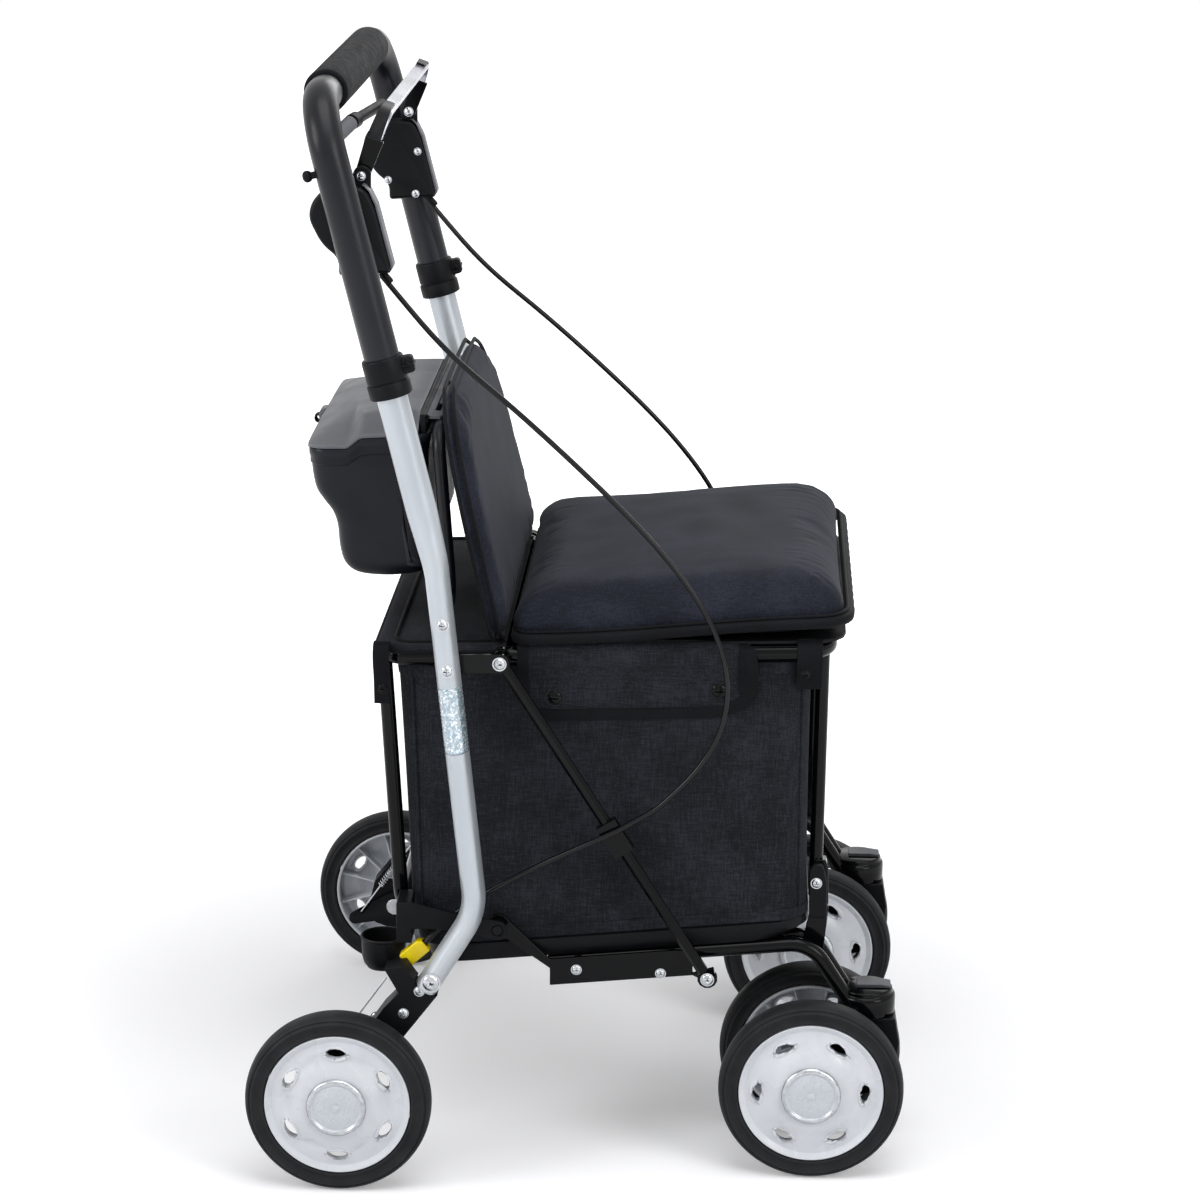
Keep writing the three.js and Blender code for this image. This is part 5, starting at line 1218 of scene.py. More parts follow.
def deck(y, rise=0.0):
    return 215 + (-404 - y) * math.tan(DECK_TILT) + rise


base = Form()
for side, s in BOTH:
    for offset in (-13, 13):
        x = s * CASTER_TRACK / 2 + offset
        base.tube([(x, -190, deck(-190)), (x, -436, deck(-436)), (x, -478, 152)], 7, 35, 28, 12)
    head = [(0, 147), (25.2, 147), (26.6, 147.6), (27, 149), (27, 164), (26.2, 166), (24.6, 167.4), (24.2, 171),
            (23.0, 172), (0, 172)]
    base.lathe(head, (s * CASTER_TRACK / 2, HEAD_Y, 0), (0, 0, 1), 72)
    plate = arc(PIN_Y, PIN_Z, 9.5, 0, 150)
    plate += [(-192, deck(-192, 7)), (-326, deck(-326, 7)), (-326, deck(-326, -17)), (-345.7, 196.6),
              (-347, 188), (-344, 183), (-336, 183.4), (-326, deck(-326, -19)), (-192, deck(-192, -19)),
              (-192, deck(-192, -2)), (PIN_Y, PIN_Z - 9.5)]
    base.plate(plate, s * 206, s * 210.4)
    base.pin(4, 18.0, (s * 206, BRACE_Y, BRACE_Z), (s, 0, 0))
    base.pin(5, 22.8, (s * 206, PIN_Y, PIN_Z), (s, 0, 0))
    for y in (-218.8, -305.9):
        base.pin(6, 13, (s * 195.4, y, deck(y)), (s, 0, 0))
    post = arc(FOOT_Y, FOOT_Z, 8.5, 0, 180)
    post += [(FOOT_Y - 4.7, deck(FOOT_Y, -14)), (-428.8, deck(-428.8, -3.5))]
    base.plate(post, s * 172.8, s * 177)
    base.pin(4, 17.6, (s * 158, FOOT_Y, FOOT_Z), (s, 0, 0), 24)
for y in (-408, -205):
    base.pin(6.3, 182, (0, y, deck(y)), (1, 0, 0), start=-182)
piece("folding_deck", base, "base", GLOSS_ENAMEL, ("base_frame",), bevel=0.8)

TRAY_REAR, TRAY_FRONT = -74.0, -434.0
tray = Form()


def tray_ring(inset, rise, nose=0.0):
    ring = rounded(202 - inset, TRAY_FRONT + inset + nose, TRAY_REAR - inset, 40 - min(inset, 30), 10)
    return [(x, y, deck(y, rise)) for x, y in ring]


tray.skin([
    tray_ring(4, 11.0, 12), tray_ring(4, 20.0, 1), tray_ring(30, 21.5, 0), tray_ring(30, 24.6, 0), tray_ring(3, 25.3),
    tray_ring(0.6, 24.4), tray_ring(0, 22.6), tray_ring(0, 15.0), tray_ring(0.6, 12.4, 3.5), tray_ring(1.0, 9.4, 9.5),
    tray_ring(1.6, 7.6, 14), tray_ring(3.6, 7.3, 15.5),
], looped=True)
tray.skin([tray_ring(26, 21.6), tray_ring(26, 24.5)])
piece("tray_shell", tray, "base", BLACK_NYLON, ("tray",))
for side, s in BOTH:
    heads("channel_screws_" + side, "base", [
        (s * 210.6, -217, 192, (s, 0, 0), 4.4), (s * 210.6, -296, 190, (s, 0, 0), 4.4),
        (s * 209.6, -475.9, 153.5, (s, 0, 0), 4.6),
    ])
    heads("brace_pin_head_" + side, "base", [(s * 223.8, BRACE_Y, BRACE_Z, (s, 0, 0), 5.6)])


# Front poles and diagonal braces

for side, s in BOTH:
    pole = Form()
    top_y, top_z = on_seat(0, -SEAT_LONG)[1:]
    line = unit((0, top_y - FOOT_Y, top_z - FOOT_Z))
    foot = np.array((s * 165, FOOT_Y, FOOT_Z))
    reach = math.hypot(top_y - FOOT_Y, top_z - FOOT_Z) - 8.6
    pole.tube([foot + (0, 4.5, 0) + line * 9.5, foot + (0, 4.5, 0) + line * reach], 6.3, 0, 32)
    block = arc(FOOT_Y, FOOT_Z, 8.5, 180, 360)
    block += [(FOOT_Y + y, FOOT_Z + z) for y, z in ((7.4, 40), (5, 47), (-5, 47), (-7.4, 40))]
    pole.plate(block, s * 158, s * 172)
    piece("front_pole_tube_" + side, pole, "front_poles", GLOSS_ENAMEL, ("front_pole_" + side,), bevel=0.9)
    # The foot bracket hangs over the post's outer side
    bracket = Form()
    cheek = soften([(-433.2, 284), (-434.2, 237.4), (-451.0, 237.4), (-450.4, 272), (-446.5, 290), (-437, 291)],
                   [3, 3, 2, 6, 4, 5])
    bracket.slab(cheek, ((177.6, 0.5), (178.2, 0), (180.6, 0), (181.4, 0.9)), s)
    spacer = soften([(-436.5, 259), (-450, 259), (-449.5, 272), (-446.5, 289), (-437.5, 290)], 2.0)
    bracket.plate(spacer, s * 171.6, s * 179)
    piece("pole_foot_bracket_" + side, bracket, "front_poles", BLACK_NYLON, bevel=0.4)
    heads("pole_foot_screw_" + side, "front_poles", [(s * 181.2, -440.5, 272, (s, 0, 0), 4.6)])

    refined("brace_" + side, GLOSS_ENAMEL, 0.8)
    refined("caster_fork_" + side, BLACK_NYLON, 3.0, segments=4)
    refined("front_axle_" + side, ZINC_STEEL, 0.6)
    refined("lock_tab_" + side, TAB_PLASTIC, 0.8)


# Rear box: a lofted tub with a band round its rim, a grey lid and a shelf in front of it

BOX_HALF, BOX_FRONT, BOX_CORNER, RIM_REAR = 150.0, -75.0, 18.0, 34.0
RIM_LINE = np.array([(RIM_REAR, 675.0), (0.5, 675.4), (-2.5, 676.4), (-12.5, 684.4), (-15.5, 685.6), (-40.0, 687.0),
                     (-67.2, 688.4), (-75.0, 689.0)])
BOX_SIDE = smooth([(RIM_REAR, 675), (33.6, 656), (30.0, 635.6), (22.5, 623.4), (14.9, 613), (10.6, 600), (8.8, 580),
                   (4.0, 564), (-8, 554.6), (-30, 552), (-50, 553), (-66, 556), (-73.6, 563), (-75, 575),
                   (-75, 640), (-75, 689)], 4)


def rim(y):
    return np.interp(-np.array(y), -RIM_LINE[:, 0], RIM_LINE[:, 1])


def box_curve(inset):
    """The tub's side view from the rear rim round to the front rim, moved in by inset but for its ends' height."""
    run = np.gradient(BOX_SIDE, axis=0)
    run /= np.linalg.norm(run, axis=1)[:, None]
    side = np.stack([run[:, 1], -run[:, 0]], 1)
    moved = BOX_SIDE - side * inset * (1 if side[0, 0] > 0 else -1)
    moved[0, 1], moved[-1, 1] = rim(moved[0, 0]), BOX_SIDE[-1, 1]
    return moved


box = Form()
stations = [BOX_HALF - BOX_CORNER + BOX_CORNER * math.sin(a) for a in np.linspace(0, math.pi / 2, 9)]
insets = [BOX_CORNER - BOX_CORNER * math.cos(a) for a in np.linspace(0, math.pi / 2, 9)]
across = [(-x, i) for x, i in zip(stations[::-1], insets[::-1])] + [(x, i) for x, i in zip(stations, insets)]
rings = [[(x, y, z) for y, z in box_curve(inset)] for x, inset in across]
box.skin(rings, closed=False)
for x in (-BOX_HALF, BOX_HALF):
    low = box_curve(BOX_CORNER)
    ys = np.linspace(low[0, 0], low[-1, 0], len(low))
    high = np.stack([ys, rim(ys)], 1)
    high[0], high[-1] = low[0], low[-1]
    box.skin([[(x, y, z) for y, z in mix(low, high, t)] for t in (0, 0.25, 0.5, 0.75, 1)], closed=False)
piece("box_tub", box, "rear_frame", TUB_PLASTIC, ("box_body",), thick=2.5)

plan = evenly(rounded(BOX_HALF, BOX_FRONT, RIM_REAR, BOX_CORNER, 9), 220, shut=True)
away = outward(plan)
band = Form()
rings = []
for out, drop in ((-2.6, 0.4), (1.2, 0.2), (2.2, -0.8), (2.2, -7.4),
                  (1.3, -8.6), (1.3, -14.6), (0.5, -15.8), (-2.6, -15.8)):
    spots = plan + away * out
    rings.append([(x, y, z + drop) for (x, y), z in zip(spots, rim(plan[:, 1]))])
band.skin(rings, looped=True)
piece("box_rim_band", band, "rear_frame", TUB_PLASTIC, bevel=0.5, angle=50)
shelf = Form()
outer = evenly(rounded(138, -90, -72.5, 4, 4), 64, shut=True)
finger_slot = evenly(rounded(66, -87.4, -79.4, 1.5, 4), 64, shut=True)
finger_slot[:, 0] -= 52
shelf.skin([[(x, y, z) for x, y in line] for line, z in (
    (finger_slot, 702.3), (outer, 702.3), (outer, 705.2), (drawn_in(outer, 0.8), 705.7), (finger_slot, 705.7)
)], looped=True)
shelf.skin([[(x, y, z) for x, y in rounded(70, -88.5, -78.5, 1, 2)] for z in (701.0, 702.2)])
piece("box_shelf", shelf, "rear_frame", TAB_PLASTIC)
strip = Form()
strip.slab(soften([(-73.6, 686), (-67.4, 686), (-67.4, 706.6), (-73.6, 706.6)], 1.5),
           ((-140, 1.0), (-139, 0), (139, 0), (140, 1.0)))
piece("lid_hinge_strip", strip, "rear_frame", BLACK_NYLON, bevel=0.3)

LID_TOP = smooth([(-67.2, 706.2), (-49.5, 706.4), (-34, 705.6), (-19.5, 703.8), (0, 699.0), (14, 693.4), (26, 687.0),
                  (35.6, 681.2), (37.1, 675.5)], 5)
LID_REAR, LID_FRONT = 37.1, -66.6


def lid_height(x, y):
    """Top of the lid: the lower of its long crown and its side slopes, which step up where the rim does."""
    crown = np.interp(y, LID_TOP[:, 0], LID_TOP[:, 1])
    slope = np.interp(y, (-16, -2), (0.46, 0.26))
    side = rim(y) + 3.0 + (BOX_HALF + 1 - np.abs(x)) * slope
    soft = np.interp(y, (-6, 8), (0.8, 4.0))
    near = np.clip((side - crown) / soft, -30, 30)
    return crown - soft * np.log1p(np.exp(-near))


lid = Form()
rows = np.r_[np.linspace(LID_FRONT, -17, 14), np.linspace(-15.5, 2, 22),
             np.linspace(5, 31, 10), np.linspace(32.5, LID_REAR, 6)]
sides = np.r_[np.linspace(-1, -0.4, 34), np.linspace(-0.34, 0.34, 9), np.linspace(0.4, 1, 34)]
grid = []
for y in rows:
    bite = max(0.0, y - (LID_REAR - BOX_CORNER))
    half = BOX_HALF + 2.2 - BOX_CORNER + math.sqrt(max(BOX_CORNER ** 2 - bite ** 2, 0.0))
    xs = sides * half
    tops = lid_height(xs * (BOX_HALF / (BOX_HALF + 2.2)), np.full_like(xs, y))
    skirt = np.minimum(rim(min(y, RIM_REAR)) + 0.6, tops - 0.8)
    grid.append([(xs[0], y, skirt[0])] + [(x, y, z) for x, z in zip(xs, tops)] + [(xs[-1], y, skirt[-1])])
grid.append([(x, LID_REAR + 0.2, min(z, 673.6)) for x, y, z in grid[-1]])
grid.insert(0, [(x, LID_FRONT - 0.1, min(z, max(687.0, z - 9))) for x, y, z in grid[0]])
lid.skin(grid, closed=False)
piece("box_lid_shell", lid, "box_lid_body", LID_PLASTIC, ("box_lid",), thick=2.0, angle=24)
latch = Form()
latch.slab(soften([(34, 670), (41.5, 670), (43, 675), (41, 681), (35, 682.5)], 2.0),
           ((-9, 1.2), (-8, 0), (8, 0), (9, 1.2)))
piece("latch_lug", latch, "box_lid_body", LID_PLASTIC)
loop = Form()
turn = np.linspace(0, 2 * math.pi, 25)[:-1]
spots = [(0, 43.6 + 2.9 * math.cos(a), 671.4 + 3.4 * math.sin(a)) for a in turn]
runs = [unit((0, -2.9 * math.sin(a), 3.4 * math.cos(a))) for a in turn]
loop.skin(swept(spots, runs, lambda i: ring2d((6.5, 1.4), 16)), looped=True)
piece("latch_loop", loop, "box_lid_body", BLACK_NYLON)


# Seat: the board, a filled cushion bound in black tape, and folds where its cloth is gathered

refined("seat_board", BLACK_NYLON, 1.0)
CUSHION_HALF, CUSHION_REAR, CUSHION_FRONT, CUSHION_FOOT = 213.0, -10.0, -323.0, 12.1


def cushion_plan(inset, back=0.0):
    """The cushion's plan, moved in by inset and its rear edge back, with squarer corners at the rear."""
    half, front, rear = CUSHION_HALF - inset, CUSHION_FRONT + inset, CUSHION_REAR - inset + back
    wide, tight = max(38 - inset * 0.6, 8), max(15 - inset * 0.3, 6)
    return soften([(half, front), (half, rear), (-half, rear), (-half, front)], [wide, tight, tight, wide], 8)


def cushion_lift(y):
    """How far the cushion stands off the board towards its front edge."""
    share = np.clip((-40 - np.asarray(y, float)) / 260, 0, 1)
    return 12.0 * share * share * (3 - 2 * share)


def cushion_ring(inset, rise):
    held = min(max((inset - 9) / 30, 0), 1) if rise < 1 else 0
    flat = evenly(cushion_plan(inset, 9 * min(max((rise - 4) / 12, 0), 1)), 160, shut=True)
    return [on_seat(x, y, CUSHION_FOOT + rise + float(cushion_lift(y)) * (1 - held)) for x, y in flat]


def seat_local(points):
    """Row-frame metres to the seat's own millimetres."""
    flat = points / MM
    y, z = flat[:, 1] - ROW_SHIFT - SEAT_PIN[0], flat[:, 2] - SEAT_PIN[1]
    c, t = math.cos(SEAT_TILT), math.sin(SEAT_TILT)
    return np.stack([flat[:, 0], y * c - z * t, y * t + z * c], 1)


cushion = Form()
cushion.skin([cushion_ring(i, r) for i, r in (
    (60, 0.4), (9, 0.4), (5.5, 2.0), (4.5, 9), (5.0, 15), (8, 23),
    (14, 30.5), (26, 37), (46, 41.5), (85, 44.5), (140, 46))])
pillow = filled(piece("seat_cushion_cover", cushion, None, SEAT_CLOTH), 5.0, 4.0, 6.0)
spots = places_of(pillow)
local = seat_local(spots)
x, y, z = local.T
top = np.clip((z - cushion_lift(y) - CUSHION_FOOT - 12) / 14, 0, 1)
gathers = [(gx, -318, gx + lean, -318 + reach, 2.6, deep) for gx, lean, reach, deep in (
    (196, -14, 62, 1.1), (178, -9, 84, 1.5), (161, -4, 70, 1.0),
    (143, -6, 96, 1.5), (124, 3, 74, 0.9), (104, 0, 88, 1.2),
    (82, 3, 60, 0.7), (48, 4, 66, 0.8), (12, 5, 52, 0.6), (-30, 4, 60, 0.7), (-74, 2, 54, 0.8), (-112, 8, 70, 0.9),
    (-146, 16, 64, 1.1), (-172, 26, 58, 1.3), (-190, 36, 48, 1.4))]
gathers += [(-209, gy, -209 + reach, gy + lean, 3.0, deep) for gy, lean, reach, deep in (
    (-300, 30, 46, 1.6), (-286, 16, 40, 1.1), (-236, -12, 44, 0.7),
    (-188, 14, 52, 0.9), (-132, -10, 48, 0.7), (-78, 8, 56, 0.9))]
gathers += [(209, gy, 209 - reach, gy + lean, 3.0, deep) for gy, lean, reach, deep in (
    (-300, 26, 44, 1.5), (-240, -10, 40, 0.8), (-168, 12, 50, 0.8), (-96, -8, 46, 0.7))]
gathers += [(gx, -14, gx + lean, -14 - reach, 3.2, deep) for gx, lean, reach, deep in (
    (-186, 30, 44, 1.3), (-120, 10, 50, 0.9), (-44, -8, 42, 0.6),
    (40, 6, 46, 0.7), (128, -12, 50, 0.9), (188, -30, 44, 1.2))]
gathers += [(-120, -60, 90, -96, 16, 1.2), (-60, -232, 130, -206, 20, 1.4), (-150, -160, 20, -178, 14, 0.9)]
lift = folds(x, y, gathers) * top
# The near and far edges dip a little between the corners, as a cover pulls in
along = np.clip((y - CUSHION_REAR) / (CUSHION_FRONT - CUSHION_REAR), 0, 1)
pull = np.clip(1 - (CUSHION_HALF - np.abs(x)) / 60, 0, 1) * np.sin(along * math.pi)
z = np.maximum(z + lift - 1.8 * pull * top, CUSHION_FOOT + 0.3)
x = np.clip(x, -CUSHION_HALF + 1.0, CUSHION_HALF - 1.0)
y = np.clip(y, CUSHION_FRONT + 1.0, CUSHION_REAR + 9.0)
pillow.data.vertices.foreach_set("co", row([on_seat(*p) for p in np.stack([x, y, z], 1)]).ravel())
refine_cloth(pillow)
settle(pillow, "seat", ("seat_cushion",))

bound = Form()
flat = evenly(cushion_plan(3.6), 200, shut=True)
away = outward(flat)
rings = []
for a in np.linspace(0, 2 * math.pi, 15)[:-1]:
    out, up = 5.0 * math.cos(a), 4.9 * math.sin(a)
    out = math.copysign(abs(out) ** 0.9 * 5.0 ** 0.1, out)
    ridge = 0.25 * np.sin(np.arange(len(flat)) * 1.7)
    rings.append([on_seat(*(p + n * (out + w * (out > 0))), CUSHION_FOOT + 5.3 + up + float(cushion_lift(p[1])))
                  for p, n, w in zip(flat, away, ridge)])
bound.skin(rings, looped=True)
binding = piece("cushion_binding", bound, "seat", BINDING, ())
seam = Form()
inner = evenly(cushion_plan(5.0), 200, shut=True)
line = np.array([on_seat(px, py, CUSHION_FOOT + 11.6 + float(cushion_lift(py))) for px, py in inner])
seam.cord(line, 1.5, 8, looped=True)
seam_piping = piece("cushion_piping", seam, "seat", BINDING, ())
for obj in (pillow, binding, seam_piping):
    spot(*on_seat(0, -160, CUSHION_FOOT))
    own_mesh(obj)


# Backrest pad: a filled panel in a cover with a piped edge, leaning back on its tube

PAD_Y, PAD_FOOT, PAD_HALF, PAD_TALL = -142.0, 509.0, 211.0, 219.0
PAD_TILT = math.radians(13.2)
PAD_EDGE = [(0.93, 0), (0.985, 0.025), (1, 0.07), (0.99, 0.3), (0.96, 0.52),
            (0.915, 0.7), (0.845, 0.83), (0.74, 0.925), (0.6, 0.98), (0.45, 1)]


def on_pad(x, up, out):
    """A point on the pad: up along its face and out from it, forwards."""
    c, t = math.cos(PAD_TILT), math.sin(PAD_TILT)
    up = up / c
    return x, PAD_Y + up * t - out * c, PAD_FOOT + up * c + out * t


def pad_outline(inset, count=150):
    half = [(w * PAD_HALF, h * PAD_TALL) for w, h in PAD_EDGE]
    flat = smooth(half + [(-x, z) for x, z in half[::-1]], 5)
    flat = evenly(flat, count, shut=True)
    middle = PAD_TALL * 0.48
    return [(x * (1 - inset / PAD_HALF), middle + (z - middle) * (1 - inset / (PAD_TALL / 2))) for x, z in flat]


pad = Form()
pad.skin([[on_pad(x, z, out) for x, z in pad_outline(inset)] for inset, out in (
    (60, -4.8), (8, -4.8), (2.6, -3.4), (1.2, 0.6), (1.6, 5.0), (5.5, 8.6), (14, 10.6), (34, 12.0), (70, 12.8))])
panel = filled(piece("backrest_pad_cover", pad, None, SEAT_CLOTH), 4.5, 3.0, 4.0)
spots = places_of(panel)
flat = spots / MM
c, t = math.cos(PAD_TILT), math.sin(PAD_TILT)
dy, dz = flat[:, 1] - ROW_SHIFT - PAD_Y, flat[:, 2] - PAD_FOOT
out, up, x = dz * t - dy * c, (dy * t + dz * c) * c, flat[:, 0]
face = np.clip((out - 3) / 5, 0, 1)
creased = [(-205, 40, -120, 78, 4.0, 1.5), (-204, 66, -136, 96, 3.4, 1.2), (-200, 20, -150, 34, 3.0, 1.4),
           (-190, 120, -130, 150, 5.0, 1.0), (205, 48, 150, 80, 3.6, 1.2), (204, 24, 160, 32, 3.0, 1.2),
           (-196, 150, -150, 176, 4.4, 1.3), (-176, 178, -140, 196, 3.6, 1.3), (190, 130, 140, 158, 5.0, 0.9),
           (178, 176, 138, 190, 3.6, 1.1), (-100, 6, -92, 60, 4.2, 1.0), (-30, 5, -36, 66, 5.0, 0.8),
           (60, 5, 50, 70, 4.6, 0.9), (130, 6, 118, 52, 4.0, 1.0), (-110, 212, -96, 160, 5.0, 0.8),
           (100, 212, 90, 166, 5.0, 0.8), (0, 216, 6, 180, 6.0, 0.6), (-150, 100, 60, 84, 18.0, 1.4),
           (-60, 150, 150, 132, 20.0, 1.2), (-166, 6, -150, 70, 3.6, 1.2), (168, 8, 156, 60, 3.6, 1.1)]
out = np.clip(out + folds(x, up, creased) * face, -5.3, 15.4)
panel.data.vertices.foreach_set("co", row([on_pad(*p) for p in np.stack([x, up, out], 1)]).ravel())
refine_cloth(panel)
settle(panel, "rear_frame", ("backrest_pad",))
edges = Form()
for inset, out in ((1.4, 6.4), (0.6, -2.6)):
    line = np.array([on_pad(x, z, out) for x, z in pad_outline(inset, 200)])
    edges.cord(line, 1.9, 10, looped=True)
pad_piping = piece("pad_piping", edges, "rear_frame", BINDING, ())
for obj in (panel, pad_piping):
    spot(0, -106, 600)
    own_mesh(obj)


# Bag: a sewn shell that hangs from the rings and stands in the tray

BAG_HALF, BAG_REAR, BAG_FRONT, BAG_CORNER = 200.0, -68.0, -432.0, 26.0


def bag_top(y):
    return SEAT_PIN[1] - (y - SEAT_PIN[0]) * math.tan(SEAT_TILT) - 9.5


def bag_foot(y):
    return deck(y, 25.7)


SIDE_FOLDS = [(-395, 262, -330, 352, 9.0, 2.4), (-404, 300, -372, 400, 7.0, 1.8), (-110, 250, -150, 330, 9.0, 2.0),
              (-96, 300, -108, 430, 7.0, 1.6), (-300, 246, -250, 300, 10.0, 1.6), (-180, 236, -210, 288, 9.0, 1.4),
              (-390, 440, -330, 400, 9.0, 1.6), (-250, 420, -235, 330, 16.0, 2.0), (-330, 420, -352, 330, 14.0, 1.8),
              (-90, 470, -150, 420, 8.0, 1.4)]
END_FOLDS = [(-150, 260, -90, 350, 10.0, 2.2), (150, 262, 96, 344, 10.0, 2.0), (-40, 250, -20, 340, 12.0, 1.6),
             (60, 470, 40, 380, 12.0, 1.8), (-110, 470, -130, 390, 10.0, 1.8), (120, 466, 140, 400, 9.0, 1.6)]


def bag_sag(x, y, z, nx, ny):
    """How far the cloth stands in from its straight walls."""
    share = np.clip((z - bag_foot(y)) / (bag_top(y) - bag_foot(y)), 0, 1)
    side = np.abs(nx) > np.abs(ny)
    along = np.where(side, (y - BAG_REAR) / (BAG_FRONT - BAG_REAR), (x + BAG_HALF) / (2 * BAG_HALF))
    hollow = np.sin(math.pi * np.clip(along, 0, 1)) ** 0.8 * (0.15 + 0.85 * np.sin(math.pi * share) ** 0.7)
    wave = 0.7 * np.sin(along * 19 + share * 2.4) * np.sin(math.pi * share)
    bulge = np.exp(-((share - 0.12) / 0.13) ** 2) * 1.6
    crease = np.where(side, folds(y, z, SIDE_FOLDS), folds(x, z, END_FOLDS))
    return np.maximum(4.6 * hollow + wave * hollow - bulge * hollow - crease * 0.8, -0.6)


plan = evenly(rounded(BAG_HALF, BAG_FRONT, BAG_REAR, BAG_CORNER, 8), 300, shut=True)
away = outward(plan)


def bag_ring(share, out=0.0):
    foot, head = bag_foot(plan[:, 1]), bag_top(plan[:, 1])
    z = mix(foot, head, share)
    spots = plan + away * (out - bag_sag(plan[:, 0], plan[:, 1], z, away[:, 0], away[:, 1]))[:, None]
    # The rear wall leans back to the hoop
    spots[:, 1] += (7 + 12 * share) * min(share / 0.12, 1.0) * np.clip(away[:, 1], 0, 1)
    return np.column_stack([spots, z])


def wall_x(y, z):
    """How far out the bag's side wall stands at a place."""
    return BAG_HALF - bag_sag(np.full(np.shape(y), BAG_HALF), np.array(y, float), np.array(z, float),
                              np.ones(np.shape(y)), np.zeros(np.shape(y)))


bag = Form()
bag.skin([bag_ring(0.0, -60), bag_ring(0.0, -1.5)] + [bag_ring(t) for t in np.linspace(0.0, 1, 46)], caps=False)
bag.put(bag_ring(0.0, -60), [list(range(len(plan)))[::-1]])
walls = piece("bag_shell", bag, "rear_frame", BAG_CLOTH, ("bag",), thick=1.6)
hem = Form()
for low, high, proud in ((0.004, 0.042, 1.1), (0.955, 1.0, 0.9)):
    hem.skin([bag_ring(low, 0.2), bag_ring(low, proud), bag_ring(mix(low, high, 0.5), proud + 0.4),
              bag_ring(high, proud), bag_ring(high, 0.2)], caps=False)
hems = piece("bag_hems", hem, "rear_frame", BAG_CLOTH, thick=0.8)
corners = Form()
for cx, cy in ((BAG_HALF, BAG_FRONT), (-BAG_HALF, BAG_FRONT), (BAG_HALF, BAG_REAR), (-BAG_HALF, BAG_REAR)):
    k = int(np.argmin(np.hypot(plan[:, 0] - cx, plan[:, 1] - cy)))
    line = np.array([bag_ring(t, 0.6)[k] for t in np.linspace(0.03, 0.97, 24)])
    corners.tube(line, 1.5, 0, 12)
corner_piping = piece("bag_corner_piping", corners, "rear_frame", BAG_CLOTH)


def flap_place(s, y, z, out):
    """Outside the ring at the top, against the wall lower down."""
    over = np.interp(z, (470, 486, 492, 504, 509, 513), (0, 5.5, 7.4, 7.4, 4.5, -4))
    return s * (float(wall_x(y, min(z, bag_top(y)))) * (z < 487) + BAG_HALF * (z >= 487)
                + over + out), y, z


def strap(name, s, y0, y1, path):
    """A flat strap whose width runs from y0 to y1, along (x, z) places."""
    line = smooth([(x, 0, z) for x, z in path], 5)
    rings = []
    for middle, run in zip(line, np.gradient(line, axis=0)):
        across, _, up = unit(run)
        rings.append([(s * (middle[0] + up * o), y, middle[2] - across * o) for y, o in (
            (y0, -0.9), (y0, 0.9), (mix(y0, y1, 0.5), 1.2), (y1, 0.9), (y1, -0.9))])
    made = Form()
    made.skin(rings)
    return piece(name, made, "rear_frame", BINDING, bevel=0.4)


